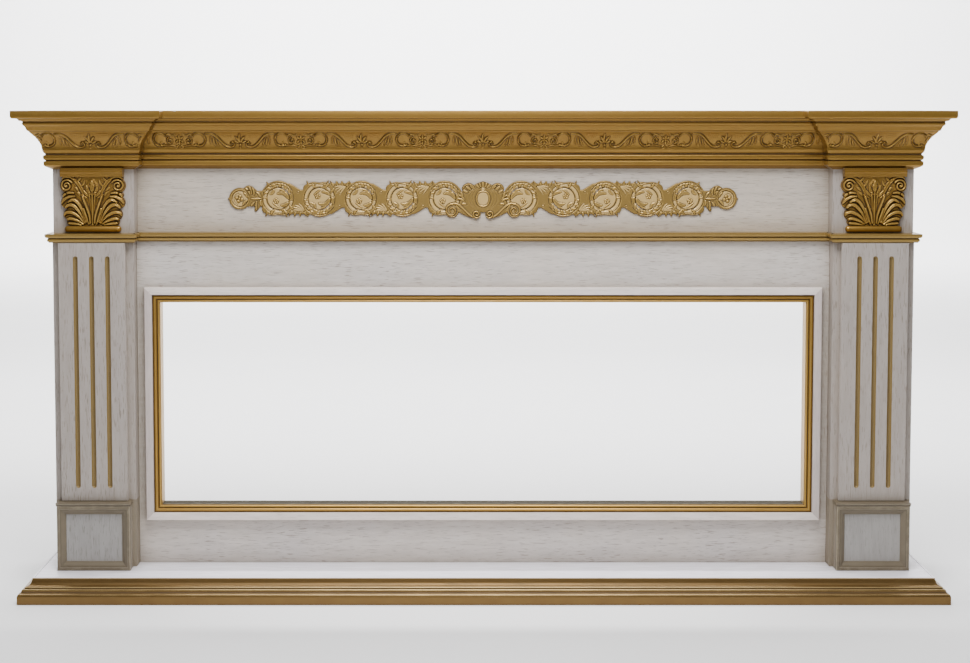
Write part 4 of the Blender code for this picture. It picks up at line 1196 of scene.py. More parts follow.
@dataclass(frozen=True)
class OpeningFrame(Assembly):
    """The frame of the opening: a raised white flat, then two gold beads at the sight edge."""

    lip: float = 9.7 * MM
    rebate: float = 28 * MM

    # Past the first share of the width the frame is gilt, and past the second the sill is dark.
    gilt_from: float = 0.5
    dark_from: float = 0.99
    flat: tuple = ((0.0, 0.0, 0), (0.0, 0.95, 0.8), (0.03, 1.0, 0.8), (0.475, 1.0, 0.9), (0.505, 0.60, 0.3))
    beads: tuple = (
        (0.525, 0.50, 0.3), (0.56, 0.62, 1.5), (0.68, 0.74, 1.7), (0.765, 0.52, 0.5), (0.79, 0.38, 0.4),
        (0.81, 0.36, 0.4), (0.84, 0.50, 0.9), (0.91, 0.56, 1.2), (0.955, 0.46, 0.6), (0.965, 0.28, 0.4),
        (1.0, 0.24, 0.4),
    )

    def build(self) -> None:
        """Make the four mitred members. The sill's reveal is painted dark and dull."""
        low, high = (corner.copy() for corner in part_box("opening_frame_top"))
        width, plane = high.z - low.z, self.places.panel
        corners = sized(self.flat + self.beads, width, plane - low.y) + [(width, -self.rebate, 0)]
        low.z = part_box("opening_frame_bottom")[0].z
        low.x, high.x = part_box("opening_frame_left")[0].x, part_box("opening_frame_right")[1].x
        limits = width * np.array((self.gilt_from, self.dark_from))
        gilt = Section.cut(corners, -1, lambda middle: int(middle[0] > limits[0]))
        sill = Section.cut(corners, -1, lambda middle: int((middle[0] > limits).sum()))
        inner = width - self.lip
        back = [(inner, -self.rebate), (inner, SEAM), (0, SEAM)]
        for run in frame_runs(low, high, plane):
            surface = Surface()
            run.sweep(surface, sill if run.name == "bottom" else gilt, back)
            finish = self.finishes.framing[Grain.UPRIGHT if run.name in ("left", "right") else Grain.ACROSS]
            node = "opening_frame_" + run.name
            surface.place(node, node + "_moulded", "white_patina",
                          [finish, self.finishes.gold, self.finishes.sill])


@dataclass(frozen=True)
class Plinths(Assembly):
    """The glazed frames and two-filleted caps of the two plinth blocks."""

    cap_inset: float = 1.8 * MM

    # The rails stand this far before the block, so that the two faces don't share a plane.
    proud: float = 0.2 * MM
    rail_shares: tuple = (
        (0.0, 0.0, 0), (0.0, 0.85, 0.7), (0.05, 1.0, 0.7), (0.34, 1.0, 0.8), (0.40, 0.82, 0.5),
        (0.58, 0.76, 1.6), (0.80, 0.40, 1.8), (0.90, 0.26, 0.6), (0.95, 0.22, 0.5), (1.0, 0.0, 0),
    )
    cap_shares: tuple = (
        (0.0, 0.0, 0), (0.70, 0.0, 0.2), (0.74, 0.22, 0.5), (0.74, 0.38, 0.4), (0.86, 0.44, 0.5),
        (0.86, 0.60, 0.4), (1.0, 0.68, 0.6), (1.0, 1.0, 0.6),
    )

    def build(self) -> None:
        """Make each plinth's four rails and its cap."""
        for side, _ in SIDES:
            block_low, block_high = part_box("plinth_block_" + side)
            rail_low, rail_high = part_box("plinth_rail_top_" + side)
            corners = sized(self.rail_shares, rail_high.z - rail_low.z, block_low.y - rail_low.y)
            rail = Section.cut(corners, -1)
            for run in frame_runs(block_low, block_high, block_low.y - self.proud):
                self.make("plinth_rail_" + run.name + "_" + side, run, rail)
            name = "plinth_cap_" + side
            low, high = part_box(name)
            height, depth = high.z - low.z, high.y - block_low.y
            ends = (low.x + self.cap_inset, high.x - self.cap_inset)
            run = Run("cap", Vector((0, block_low.y, low.z)), RIGHTWARD, FORWARD, ends)
            cap = Section.cut(sized(self.cap_shares, block_low.y - low.y, height))
            self.make(name, run, cap, ((-depth, height), (-depth, 0)))

    def make(self, name: str, run: Run, section: Section, back: Iterable[Spot] = ()) -> None:
        """Make one glazed moulding."""
        surface = Surface()
        run.sweep(surface, section, back)
        surface.place(name, name + "_glazed", "beige_patina", [self.finishes.beige])


@dataclass(frozen=True)
class FlutedBoards(Assembly):
    """The boards on the pilasters' fronts, with three gilt flutes each."""

    flutes: int = 3
    width: float = 9.5 * MM
    depth: float = 4.0 * MM
    side_margin: float = 31.5 * MM
    end_margin: float = 28.0 * MM
    arris: float = 0.8 * MM

    # How far the fine mesh goes past a flute's edge, as a share of its half width.
    past: float = 1.35

    def build(self) -> None:
        """Make both boards."""
        for side, _ in SIDES:
            name = "fluted_board_" + side
            low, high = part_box(name)
            surface = Surface()
            self.front(surface, low, high)
            self.edges(surface, low, high)
            surface.place(name, name + "_gilt", "white_patina",
                          [self.finishes.white[Grain.UPRIGHT], self.finishes.flute_gold])

    def front(self, surface: Surface, low: Vector, high: Vector) -> None:
        """Make the face, with flutes that are round at both ends and in section."""
        half = self.width / 2
        inset = self.side_margin + half
        centres = np.linspace(low.x + inset, high.x - inset, self.flutes)
        across = np.concatenate((np.linspace(-self.past, -1, 4), np.linspace(-1, 1, 17),
                                 np.linspace(1, self.past, 4)))
        bottom, top = low.z + self.end_margin + half, high.z - self.end_margin - half
        ends = half * np.linspace(-self.past, 0.0, 20)
        x = np.concatenate([[low.x + self.arris, high.x - self.arris],
                            *(centre + half * across for centre in centres)])
        z = np.concatenate(([low.z + self.arris, high.z - self.arris], np.linspace(bottom, top, 12),
                            bottom + ends, top - ends))
        grid_x, grid_z = np.meshgrid(np.unique(np.round(x, 7)), np.unique(np.round(z, 7)))
        beyond = np.full(grid_x.shape, 1.0)
        for centre in centres:
            reach = np.hypot(grid_x - centre, grid_z - np.clip(grid_z, bottom, top))
            beyond = np.minimum(beyond, reach / half)
        inside = np.clip(1 - beyond**2, 0, 1)
        points = np.stack((grid_x, low.y + self.depth * inside**0.6, grid_z), -1)
        wear = np.where(inside > 0, 0.4 - inside * 0.85, 0.0)
        gilt = (beyond[1:, 1:] + beyond[:-1, :-1] + beyond[1:, :-1] + beyond[:-1, 1:]) / 4 < 1.0
        surface.add_grid(points, wear, FORWARD, keep=~gilt)
        surface.add_grid(points, wear, FORWARD, 1, keep=gilt)

    def edges(self, surface: Surface, low: Vector, high: Vector) -> None:
        """Make the eased arrises, the four edges and the back."""
        rings = []
        for inset, y in ((self.arris, low.y), (self.arris * 0.3, low.y + self.arris * 0.3),
                         (0, low.y + self.arris), (0, high.y)):
            left, right, bottom, top = low.x + inset, high.x - inset, low.z + inset, high.z - inset
            rings.append([(left, y, bottom), (right, y, bottom), (right, y, top), (left, y, top)])
        first = surface.add_points(np.array(rings), np.zeros((len(rings), 4)))
        for here in range(first, first + 4 * len(rings) - 4, 4):
            for index in range(4):
                following = (index + 1) % 4
                surface.add_face((here + index, here + 4 + index, here + 4 + following, here + following))
        back = first + 4 * len(rings) - 4
        surface.add_face((back + 3, back + 2, back + 1, back))


@dataclass(frozen=True)
class Relief:
    """A carved sheet, the same at both sides of its middle, laid on an upright plane. In millimetres."""

    sheet: Sheet
    half: float
    low: float
    high: float
    pitch: float

    # How far the plate's edge is rounded over, and how far in from its edge the glaze colour is laid as
    # painted shade.
    rounding: float = 1.7
    shaded: float = 1.4
    sunk: float = 0.2

    def lay(self, surface: Surface, origin: Vector, plane: float,
            swell: Callable[[np.ndarray, np.ndarray], np.ndarray] | None = None) -> None:
        """Add the relief to a surface.

        Args:
            surface: Where the faces go.
            origin: The place in space of the sheet's zero, in metres.
            plane: The Y of the plane that it stands on, in metres.
            swell: A function of u and v that gives how far the ground stands out.
        """
        sheet = self.sheet
        columns, rows = 2 * int(self.half / self.pitch) + 1, int((self.high - self.low) / self.pitch) + 1
        u, v = np.meshgrid(np.linspace(-self.half, self.half, columns),
                           np.linspace(self.low, self.high, rows))
        beyond = sheet.sample(sheet.beyond, np.abs(u), v)
        slope_v, slope_u = np.gradient(beyond, v[1, 0] - v[0, 0], u[0, 1] - u[0, 0])
        steep = np.maximum(np.hypot(slope_u, slope_v), 0.3)
        inside = beyond < 0
        keep = inside[1:, 1:] | inside[:-1, 1:] | inside[1:, :-1] | inside[:-1, :-1]
        # Points just outside the outline are drawn in to lie on it.
        shift = np.where((beyond > 0) & (beyond < 2.5 * self.pitch), beyond, 0)
        u, v = u - shift * slope_u / steep**2, v - shift * slope_v / steep**2
        beyond = np.where(inside, beyond, 0)
        edge = np.sqrt(np.clip(1 - (1 - np.clip(-beyond / self.rounding, 0, 1)) ** 2, 0, 1))
        height, wear, cream = (sheet.sample(values, np.abs(u), v)
                               for values in (sheet.rise, sheet.hollow, sheet.cream))
        if swell:
            height = height + swell(u, v)
        # Painted shade: a band along the plate's edge gets the glaze.
        wear = np.where(beyond > -self.shaded, np.minimum(wear, -0.3), wear)
        y = plane + self.sunk * MM - (height * edge + self.sunk * edge) * MM
        points = np.stack((origin.x + u * MM, y, origin.z + v * MM), -1)
        surface.add_grid(points, wear, FORWARD, cream=cream, keep=keep)


@dataclass(frozen=True)
class FriezeOrnament(Assembly):
    """The long carved ornament: five leafy scrolls to each side of a cartouche."""

    scrolls: tuple[float, ...] = (82.4, 173.0, 261.3, 350.3, 438.9)
    roundel: float = 520.5
    plate: float = 3.0
    ring: float = 24.0
    pitch: float = 0.86

    smooth_angle: float = 60

    # How far the plate can reach to each side, and up and down.
    half: float = 547.0
    edge: float = 42.0

    def draw_scroll(self, sheet: Sheet, centre: float, side: int) -> None:
        """Draw one scroll.

        Args:
            sheet: The ornament's sheet.
            centre: The scroll's middle.
            side: +1 where its leaf arches over its top, -1 where it arches under it.
        """
        plate, ring = self.plate, (self.ring, self.ring)

        def put(stroke: Stroke) -> Stroke:
            """The stroke, moved to the scroll."""
            return stroke.moved(centre, 0, 1, side)

        def bow(radius: float, turn: Spot, width: Spot, steps: int) -> Stroke:
            """An arc round the scroll's middle."""
            return put(arc((0, 0), (radius, radius), turn, width, steps))

        sheet.outline(dot(centre, 0, 31.0), bow(28.5, (18, 162), (9.5, 11.3), 10),
                      put(path([(-26, -22), (-13, -24.5), (0, -23.5), (14, -24.5), (26, -22)],
                               [8.0, 11.2, 11.6, 11.4, 9.0])))
        for root, tip in (((22, -29), (27, -38.5)), ((-17, -31), (-20, -39.5)), ((21, 29), (25, 36))):
            thorn = put(leaf(root, tip, 0.08, 1.9))
            sheet.outline(thorn)
            sheet.raise_up(thorn, 0.8, plate - 0.4)
        # Cream fields round the ring and inside it.
        for field in (
            bow(27.6, (156, 112), (2.6, 3.2), 6), bow(29.4, (-4, -62), (3.2, 3.6), 8),
            put(arc((0, 0), (29.4, 29.0), (192, 236), (3.0, 2.6), 6)),
            put(path([(-7, -28.2), (7, -28.6)], [2.2, 2.6])),
            put(arc((0, 0), (28.4, 27.8), (60, 14), (2.0, 3.0), 6)), bow(28, (100, 76), (1.6, 2.2), 3),
        ):
            sheet.lay(field, plate - 0.9, 1.0)
            sheet.edged(field, 1.3)
        sheet.lay(dot(centre, 0.0, self.ring - 1.0), plate - 1.3, 1.0)
        # The lobes of the arching leaf and the lines that set the leaf off.
        for angle, length, half in ((150, 9, 2.6), (127, 12, 3.2), (101, 10, 2.8), (78, 12, 3.2),
                                    (52, 11, 3.0), (30, 8, 2.2)):
            turn, lean = math.radians(angle), math.radians(angle - 42)
            root = (25.4 * math.cos(turn), 25.4 * math.sin(turn))
            tip = (root[0] + length * math.cos(lean), root[1] + length * math.sin(lean))
            sheet.veined(put(leaf(root, tip, 0.12, half)), 1.1, plate - 0.5)
        for line in (put(arc((0, 0), (34.6, 35.2), (32, 150), (1.0, 1.3), 14)),
                     put(path([(-22, -31.6), (-8, -33.0), (8, -33.0), (22, -31.4)], [0.9, 1.2, 1.2, 0.9])),
                     bow(33.2, (-30, 26), (1.1, 1.1), 8), bow(33.2, (154, 208), (1.1, 1.1), 8)):
            sheet.incise(line, 1.4)
        for root, tip in (((-13, -24), (-20, -32)), ((10, -25), (15, -33)), ((-25, -13), (-32, -22))):
            sheet.veined(put(leaf(root, tip, 0.1, 2.4)), 1.1, plate - 0.4)
        # The ring is a dark groove, wider at two sides, with leaves and a flower inside it.
        for turn, width, steps, depth in (((0, 360), (1.7, 1.7), 28, 2.0), ((-6, -92), (1.8, 2.7), 12, 1.2),
                                          ((92, 184), (1.8, 2.4), 12, 1.0)):
            sheet.incise(put(arc((0, 0), ring, turn, width, steps)), depth)
        for root, tip, bend, half in (((-22, 1), (1, 10.5), 0.26, 4.8), ((-21, -9), (-6, -14), -0.15, 3.6),
                                      ((9, 20), (18, 9), -0.18, 2.6), ((-14, 15), (-4, 19), 0.15, 2.4)):
            sheet.veined(put(leaf(root, tip, bend, half)), 1.3, plate - 1.3)
        sheet.flower((centre + 4.0, -5.0 * side), 6.6, 1.6, plate - 1.4)
        tendril = put(path([(11, -9), (5, -14), (-2, -19)], [1.2, 1.7, 1.0]))
        sheet.ringed(tendril, 1.2, plate - 1.3, groove=0.7)

    def draw_link(self, sheet: Sheet, start: float, stop: float, side: int) -> None:
        """Draw the web between two scrolls: closed by a fan of leaves at one side, notched at the other.

        Args:
            sheet: The ornament's sheet.
            start: The first scroll's middle.
            stop: The second scroll's middle.
            side: +1 where the fan is at the top, -1 where it is at the bottom.
        """
        middle, inset = (start + stop) / 2, (stop - start) / 4

        def lobe(root: Spot, tip: Spot, bend: float, half: float) -> Stroke:
            """A leaf in its place on the web."""
            return leaf((middle + root[0], root[1] * side), (middle + tip[0], tip[1] * side), bend, half)

        sheet.outline(path([(start + inset, 7.0 * side), (stop - inset, 7.0 * side)], [26.5, 26.5]),
                      dot(middle - 20.0, -17.0 * side, 11.0), dot(middle + 20.0, -17.0 * side, 11.0),
                      path([(middle + 21, -23.0 * side), (middle + 3, -15.5 * side)], [10.0, 7.0]))
        for root, tip in (((-12, 27), (-17, 36)), ((-4, 29), (-3, 37.5)), ((6, 29), (9, 37.5)),
                          ((14, 27), (19, 34))):
            made = lobe(root, tip, 0.1, 2.8)
            sheet.outline(made)
            sheet.veined(made, 1.1, self.plate - 0.3)
        for root, tip in (((-17, 33), (-20, 39)), ((17, 31), (22, 38))):
            thorn = lobe(root, tip, 0.05, 1.4)
            sheet.outline(thorn)
            sheet.raise_up(thorn, 0.7, self.plate - 0.5)
        for tip in ((13, 25), (12, 19), (8, 13.5), (0, 10.5)):
            blade = lobe((-12, 26.0), tip, 0.05, 2.2)
            sheet.ringed(blade, 0.9, self.plate - 0.4, groove=0.7, depth=1.0)
            sheet.lay(blade.thinned(0.6), self.plate + 0.4, 0.9, 0.6)
        sheet.ringed(dot(middle + 1.0, -15.0 * side, 1.8), 1.2, self.plate - 0.3)

    def draw_end(self, sheet: Sheet) -> None:
        """Draw the end roundel, its crown, its drop leaf and its link to the last scroll."""
        end, plate = self.roundel, self.plate
        sheet.outline(dot(end, 0, 23.5), leaf((end + 20, 0), (end + 25.4, 0), 0, 2.2),
                      path([(self.scrolls[-1] + 20, 0), (end - 10, 0)], [17.0, 17.0]),
                      path([(end - 32, 17), (end - 20, 23), (end - 12, 21)], [4.0, 5.5, 4.0]),
                      path([(end - 38, -16), (end - 34, -24)], [5.0, 3.6]))
        sheet.lay(dot(end, 0, 18.0), plate - 1.5, 1.0)
        for radius, turn, width, steps, depth in (
            ((21.0, 21.0), (-200, 160), (0.9, 0.9), 26, 1.0),
            ((17.0, 17.0), (-180, 180), (1.2, 1.6), 26, 1.5),
            ((14.0, 12.0), (-70, 80), (1.0, 1.4), 14, 1.3),
        ):
            sheet.incise(arc((end, 0), radius, turn, width, steps), depth)
        sheet.flower((end + 1.5, 0.0), 9.5, 2.2, plate - 1.3, 4)
        for root, tip in (((-16, -3), (-6, -14)), ((-16, 3), (-7, 14))):
            sheet.veined(leaf(root, tip, 0.1, 2.2).moved(end, 0), 1.4, plate - 1.2)
        for root, tip in (((-30, 8), (-27, 24)), ((-25, 10), (-19, 27)), ((-22, 9), (-12, 23)),
                          ((-36, -6), (-36, -25)), ((-30, -8), (-24, -17)), ((-44, 4), (-36, 14)),
                          ((-44, -4), (-46, -15))):
            sheet.veined(leaf(root, tip, 0.08, 2.4).moved(end, 0), 1.7, plate)
        sheet.ringed(path([(end - 44, 0), (end - 34, 0), (end - 24, 0)], [1.5, 2.4, 1.5]), 1.8, plate)

    def draw_cartouche(self, sheet: Sheet) -> None:
        """Draw one half of the middle cartouche: shield, oval, crown, sweep and volutes."""
        plate = self.plate
        sheet.outline(path([(0, 2), (20, 2)], [32.0, 27.0]), path([(20, 0), (48, -4)], [24.0, 18.0]),
                      dot(67, -25, 15.6), dot(14.5, -33, 10.0),
                      path([(14, -36), (30, -30), (50, -20)], [7.0, 9.0, 9.0]),
                      arc((31, 19), (9, 9), (20, 160), (6.0, 6.0), 6), path([(0, 30), (12, 28)], [7.5, 5.0]))
        # Ribs of the shield that follow the oval and run down to the foot.
        for reach, width in ((20.5, 1.5), (27.0, 1.6), (33.5, 1.6)):
            rib = path([(reach * 0.42, 21 + reach * 0.12), (reach * 0.86, 13), (reach, 0),
                        (reach * 0.80, -14), (reach * 0.45, -24)],
                       [width * 0.7, width, width, width, width * 0.6])
            sheet.ringed(rib, 0.45, plate, groove=0.8, depth=0.15)
        sheet.lay(path([(0, 4), (0, -3.5)], [12.0, 12.0]), plate + 0.2, 1.0)
        sheet.ringed(path([(0, 16.5), (9, 13.5), (13.8, 4), (13.8, -4), (9, -13.5), (0, -16.5)],
                          [1.4, 1.4, 1.5, 1.5, 1.4, 1.4]), 1.8, plate)
        sheet.lay(path([(0, 22), (0, 20)], [3.4, 3.4]), plate + 1.0, 1.0)
        for root, tip, half in (((0, 25), (0, 36), 2.8), ((4, 25), (8, 35), 2.6), ((8, 24), (15, 32), 2.6),
                                ((20, 22), (27, 31), 3.0), ((27, 20), (36, 27), 2.8),
                                ((33, 14), (43, 19), 2.6)):
            sheet.veined(leaf(root, tip, -0.06, half), 1.9, plate)
        sheet.ringed(arc((31, 19), (12.5, 12.5), (10, 165), (1.1, 1.3), 10), 1.5, plate)
        sweep = path([(6, -38), (14, -41), (24, -38), (34, -30), (45, -19), (57, -11), (70, -11)],
                     [1.2, 1.7, 2.0, 2.2, 2.2, 2.0, 1.4])
        sheet.ringed(sweep, 1.4, plate)
        sheet.ringed(arc((14.0, -33.0), (8.2, 2.0), (-100, 330), (1.7, 1.2), 18), 2.2, plate)
        sheet.lay(dot(67, -25.5, 12.5), plate - 1.2, 0.45)
        sheet.ringed(arc((67, -25.5), (14.0, 2.6), (100, -420), (1.5, 1.1), 26), 1.6, plate - 0.4)
        for root, tip in (((40, -2), (52, 8)), ((40, -6), (54, 0)), ((44, 2), (48, 14)),
                          ((36, -12), (46, -12))):
            sheet.veined(leaf(root, tip, 0.12, 2.4), 1.6, plate)

    def build(self) -> None:
        """Draw the right half, and make the whole ornament from it."""
        sheet = Sheet((-3, 550), (-46, 46), 0.4)
        sheet.rise += self.plate
        sides = [1 if index % 2 == 0 else -1 for index in range(len(self.scrolls))]
        for start, stop, side in zip(self.scrolls, self.scrolls[1:], sides):
            self.draw_link(sheet, start, stop, side)
        self.draw_end(sheet)
        for centre, side in zip(self.scrolls, sides):
            self.draw_scroll(sheet, centre, side)
        self.draw_cartouche(sheet)
        low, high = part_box("frieze_ornament")
        surface = Surface()
        relief = Relief(sheet.finish_up(), self.half, -self.edge, self.edge, self.pitch)
        relief.lay(surface, (low + high) / 2, self.places.frieze)
        surface.place("frieze_ornament", "frieze_ornament_carved", "antique_gold", [self.finishes.pale_gold],
                      self.smooth_angle)


@dataclass(frozen=True)
class Capitals(Assembly):
    """The two carved capitals: a leafy bell with volutes, between an astragal and an abacus."""

    half: float = 71.0
    bell: float = 106.0
    depth: float = 22.0
    astragal: float = 14.0
    pitch: float = 0.72
    smooth_angle: float = 60

    # How far the carving can reach, to each side and over the bell.
    reach: float = 70.8
    over: float = 2.0

    # The bars' lengths as shares of the bell's width, and the abacus' depth as a share of the bell's.
    astragal_share: float = 0.845
    abacus_share: float = 0.925
    abacus_depth: float = 0.93

    # The abacus is carried up past the solid, to meet the cornice's foot.
    abacus: float = 11 * MM
    closing: float = 7.5 * MM
    # The abacus is evenly and slightly glazed, with no rubbed edges, as painted shade under the cornice.
    abacus_shade: float = -0.15
    abacus_shares: tuple = (
        (0, 0, 0), (0.86, 0, 1.0), (0.90, 0.4, 1.2), (1.0, 0.50, 0.8), (1.0, 0.74, 0.5), (0.80, 0.78, 0.4),
        (0.80, 1.0, 0), (0, 1.0, 0),
    )

    def swell(self, u: np.ndarray, v: np.ndarray) -> np.ndarray:
        """How far the bell's ground stands out, in millimetres."""
        across = np.clip(np.abs(u) / self.half, 0, 1)
        rise = np.clip(v / self.bell, 0, 1)
        return self.depth * (0.34 + 0.25 * rise**2) * np.sqrt(1 - 0.75 * across**2)

    def draw_fingers(self, sheet: Sheet) -> None:
        """Draw the curled leaves at the side, each of fingers that swell to a bright tip."""
        for line, widths, rise in (
            ([(40, 69), (50, 70), (60, 65), (63, 58)], [1.8, 2.8, 2.6, 1.6], 4.4),
            ([(38, 62), (50, 61), (60, 55), (65, 48)], [2.0, 3.4, 3.2, 2.0], 5.2),
            ([(24, 2), (36, 4), (50, 5)], [1.8, 2.8, 2.6], 3.8),
            ([(20, 4), (33, 11), (47, 15), (57, 12)], [2.0, 3.2, 3.4, 2.4], 4.6),
            ([(17, 6), (30, 20), (45, 28), (57, 27), (61, 21)], [2.0, 3.2, 3.8, 3.2, 1.8], 5.2),
            ([(15, 7), (26, 27), (39, 42), (51, 44), (59, 36)], [2.0, 3.2, 4.0, 3.6, 2.0], 5.8),
            ([(13, 8), (20, 30), (30, 48), (41, 55), (51, 50)], [2.0, 3.0, 3.8, 3.8, 2.0], 6.4),
        ):
            finger = path(line, widths)
            sheet.ringed(finger, rise, 0.4, groove=1.3, depth=1.5)
            sheet.incise(finger.thinned(0.30), rise * 0.30)

    def draw_palmette(self, sheet: Sheet) -> None:
        """Draw the middle palmette: a fan of ribs with a small flower over it."""
        sheet.raise_up(path([(0, 0), (0, 40), (0, 74), (0, 92)], [9.0, 15.0, 17.0, 8.0]), 1.6, 0.0, Cut.FLAT)
        for root, tip, half in (((5, 62), (17, 74), 3.4), ((3, 66), (11, 85), 3.4), ((12, 60), (23, 66), 2.8),
                                ((0, 72), (0, 95), 3.4)):
            sheet.veined(leaf(root, tip, -0.10, half), 3.0, 1.2)
        for line, widths, rise in (
            ([(1.8, 10), (3.6, 40), (6, 66)], [1.5, 2.0, 1.4], 2.2),
            ([(0, 2), (0, 34), (0, 70)], [2.4, 2.8, 1.4], 3.4),
            ([(8, 4), (12, 16), (18.5, 36)], [2.0, 2.4, 2.0], 4.2),
            ([(4.5, 6), (6.5, 22), (13, 42), (20, 61)], [2.0, 2.6, 2.8, 2.4], 5.6),
        ):
            sheet.ringed(path(line, widths), rise, 1.0, groove=1.3, depth=1.5)
        for u, v in ((5.0, 80), (8.5, 72), (4.0, 88)):
            sheet.incise(dot(u, v, 1.6), 2.4)

    def drawing(self) -> Sheet:
        """Draw the right half of the bell."""
        sheet = Sheet((-3, 73), (-3, 112), 0.35)
        # How far the leaves and volutes reach.
        sheet.outline(path([(0, -2), (0, 54), (0, 110)], [49.0, 54.0, 58.0]), dot(47, 8, 9.0),
                      dot(50, 24, 12.5), dot(55, 49, 13.4), dot(60, 65, 5.5), dot(54, 85, 15.6),
                      dot(52, 100, 13.0))
        # The stalk that carries the volute, with small leaves beside it.
        stalk = path([(13, 50), (20, 72), (30, 90), (44, 103)], [2.2, 3.4, 4.2, 3.2])
        sheet.ringed(stalk, 2.8, 0.0, Cut.HOLLOW, 1.4, 1.2)
        for root, tip in (((30, 74), (37, 82)), ((26, 64), (33, 72)), ((22, 84), (16, 96)),
                          ((32, 94), (24, 103))):
            sheet.veined(leaf(root, tip, 0.1, 2.6), 2.4)
        # The volute: a spiral of nearly two turns.
        sheet.lay(dot(54, 85, 14.0), 0.8)
        sheet.ringed(arc((54, 85), (13.2, 1.8), (150, -480), (2.0, 1.7), 44), 4.6, 0.4, groove=1.1, depth=1.2)
        sheet.raise_up(dot(54, 85, 2.2), 5.2)
        brow = path([(38, 98), (48, 103), (60, 102), (67, 93)], [1.4, 2.0, 2.0, 1.4])
        sheet.ringed(brow, 3.0, 0.3, depth=0.9)
        self.draw_fingers(sheet)
        self.draw_palmette(sheet)
        return sheet.finish_up(0.35, 2.4, 1.5)

    def build(self) -> None:
        """Make both capitals."""
        relief = Relief(self.drawing(), self.reach, 0.0, self.bell + self.over, self.pitch)
        plane = self.places.block
        for side, _ in SIDES:
            name = "capital_" + side
            low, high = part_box(name)
            middle = (low.x + high.x) / 2
            surface = Surface()
            relief.lay(surface, Vector((middle, 0, low.z + self.astragal * MM)), plane, self.swell)
            self.make_astragal(surface, Vector((middle, plane, low.z)))
            foot, half = Vector((middle, plane, high.z - self.abacus)), self.half * self.abacus_share * MM
            depth = self.depth * self.abacus_depth * MM
            corners = sized(self.abacus_shares, depth, self.abacus + self.closing)
            section = Section.cut(corners)
            # Painted shade: the abacus gets an even, slight glaze and no rubbed edges.
            section = replace(section, wear=np.full(len(section.wear), self.abacus_shade))
            Run("abacus", foot, RIGHTWARD, FORWARD, (-half, half)).sweep(surface, section)
            surface.place(name, name + "_carved", "antique_gold", [self.finishes.gold], self.smooth_angle)

    def make_astragal(self, surface: Surface, foot: Vector) -> None:
        """Make the astragal, round and with rounded ends, over a place on the plane behind it."""
        radius = self.astragal / 2 * MM
        reach = self.half * self.astragal_share * MM - radius
        quarter = np.linspace(0, math.pi / 2, 7)
        stations = np.concatenate((-reach - radius * np.cos(quarter), reach + radius * np.sin(quarter)))
        thick = radius * np.concatenate((np.sin(quarter), np.cos(quarter)))
        turns = np.linspace(0, math.tau, 25)[:, None]
        x = np.repeat(foot.x + stations[None, :], len(turns), 0)
        y = np.minimum(foot.y - radius * 0.88 + np.cos(turns) * thick, foot.y)
        grid = np.stack((x, y, foot.z + radius + np.sin(turns) * thick), -1)
        wear = np.repeat(0.35 * -np.cos(turns), len(stations), 1)
        surface.add_grid(grid[:13], wear[:13], UPWARD)
        surface.add_grid(grid[12:], wear[12:], -UPWARD)


@dataclass(frozen=True)
class Boards(Assembly):
    """The plain painted boards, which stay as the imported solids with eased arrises."""

    arris: float = 0.9 * MM
    weld: float = 0.01 * MM

    def ease(self, name: str, finish: bpy.types.Material) -> None:
        """Ease a board's arrises and paint it."""
        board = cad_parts[name]
        weld = board.modifiers.new("Weld", "WELD")
        weld.merge_threshold = self.weld
        bevel = board.modifiers.new("Eased arrises", "BEVEL")
        bevel.width = self.arris
        bevel.segments = 2
        bevel.limit_method = "ANGLE"
        board.modifiers.new("Weighted normals", "WEIGHTED_NORMAL")
        board.data.materials.clear()
        board.data.materials.append(finish)
        LOG.info("%s: painted", name)

    def build(self) -> None:
        """Ease and paint each board."""
        finishes = self.finishes
        paint = {"frieze_panel": finishes.frieze, "lower_panel": finishes.panel,
                 "mantel_board": finishes.white[Grain.ACROSS], "base_top_board": finishes.smooth}
        for side, _ in SIDES:
            paint |= {"side_panel_" + side: finishes.white[Grain.UPRIGHT],
                      "frieze_block_" + side: finishes.white[Grain.UPRIGHT],
                      "pilaster_body_" + side: finishes.shaft, "plinth_block_" + side: finishes.plinth}
        for name, finish in paint.items():
            self.ease(name, finish)


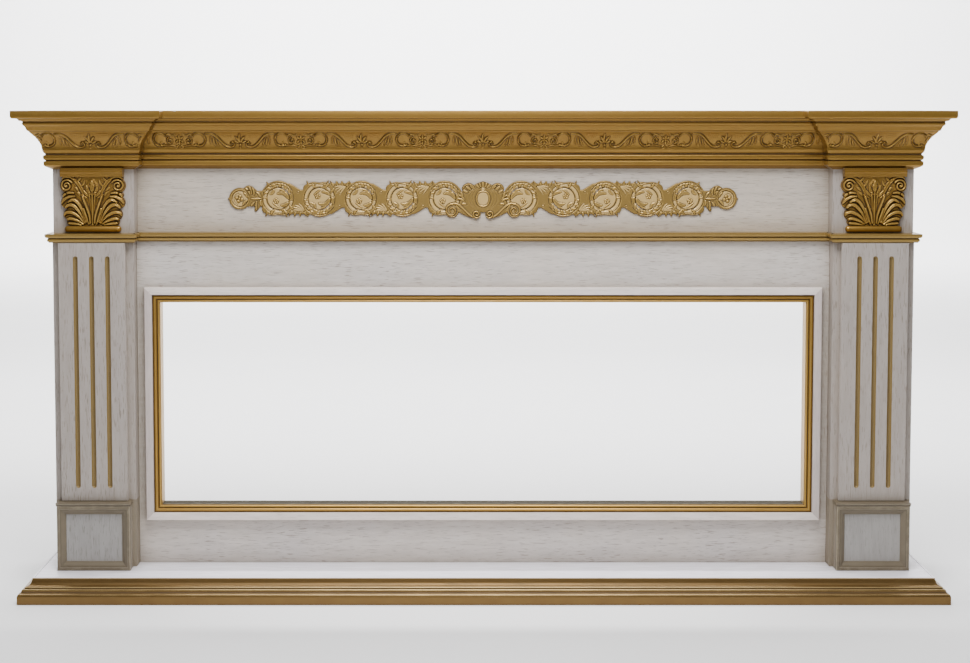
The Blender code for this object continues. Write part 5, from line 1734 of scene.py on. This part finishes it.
@dataclass(frozen=True)
class Studio:
    """A white studio: floor and wall in one sheet, soft lights and the camera."""

    lens: float = 57.2
    camera: tuple[float, float, float] = (-0.056, -3.315, 1.032)
    pitch: float = 3.3
    shift: Spot = (0.029, -0.140)
    paper: str = "#F4F4F6"
    pale_paper: str = "#F8F8F8"

    # The wall stands far enough off for the back to be seen from inside the studio.
    wall: float = 10.0
    curve: float = 2.0
    front: float = -12.0
    half_width: float = 12.0
    height: float = 8.0

    # Each light: its name, place, aim, size and power.
    lights: tuple = (
        ("overhead", (0.0, -1.0, 2.4), (0, -0.1, 0.4), (1.3, 0.8), 84),
        ("front", (-0.1, -2.6, 1.7), (0, 0, 0.5), (1.0, 0.7), 14),
        ("backdrop", (0.0, 1.4, 3.4), (0, 4.0, 1.0), (6.0, 0.8), 640),
        ("far_wall", (0.0, 6.4, 4.2), (0, 9.8, 1.6), (10.0, 0.8), 1500),
    )

    def sweep(self) -> None:
        """Lay the paper: a floor that curves up into a wall."""
        turn = np.linspace(0, math.pi / 2, 13)
        y = np.concatenate(([self.front], self.wall + self.curve * (np.sin(turn) - 1), [self.wall]))
        z = np.concatenate(([0.0], self.curve - self.curve * np.cos(turn), [self.height]))
        grid = np.array([[(x, y_here, z_here) for x in (-self.half_width, self.half_width)]
                         for y_here, z_here in zip(y, z)])
        surface = Surface()
        surface.add_grid(grid, np.zeros(grid.shape[:2]), FORWARD + UPWARD)
        nodes = Nodes("white_studio_paper")
        tone = nodes.mix(nodes.noise(1 / 3.0, 2.0), self.paper, self.pale_paper)
        surface.build("studio_paper", [nodes.finish(Base_Color=tone, Roughness=0.9)])

    def light(self, name: str, place: tuple, aim: tuple, size: Spot, power: float) -> None:
        """Hang one soft light that the camera doesn't see.

        Args:
            name: Its name.
            place: Where it hangs.
            aim: The place that it points at.
            size: Its width and height.
            power: Its power in watts.
        """
        lamp = bpy.data.lights.new(name, "AREA")
        lamp.shape = "RECTANGLE"
        lamp.size, lamp.size_y = size
        lamp.energy = power
        holder = bpy.data.objects.new(name, lamp)
        holder.location = place
        holder.rotation_euler = (Vector(aim) - Vector(place)).to_track_quat("-Z", "Y").to_euler()
        holder.visible_camera = False
        bpy.context.scene.collection.objects.link(holder)

    def build(self) -> None:
        """Set up the studio."""
        self.sweep()
        for light in self.lights:
            self.light(*light)
        world = bpy.data.worlds.new("studio")
        world.use_nodes = True
        background = world.node_tree.nodes["Background"]
        background.inputs["Color"].default_value = (1, 1, 1, 1)
        background.inputs["Strength"].default_value = 0.2
        bpy.context.scene.world = world
        camera = bpy.data.cameras.new("camera")
        camera.lens = self.lens
        camera.sensor_width = 36
        camera.shift_x, camera.shift_y = self.shift
        holder = bpy.data.objects.new("camera", camera)
        holder.location = self.camera
        holder.rotation_euler = (math.radians(90 - self.pitch), 0, 0)
        bpy.context.scene.collection.objects.link(holder)
        bpy.context.scene.camera = holder


def main() -> None:
    """Dress the mantelpiece from the floor up, then set up the studio."""
    logging.basicConfig(level=logging.INFO, format="%(message)s")
    places = Places.read()
    finishes = Finishes()
    for assembly in (Boards, BaseMoulding, Plinths, FlutedBoards, OpeningFrame, Architrave, Capitals,
                     FriezeOrnament, Cornice):
        assembly(places, finishes).build()
    Studio().build()
    bpy.context.view_layer.update()


if __name__ == "__main__":
    main()
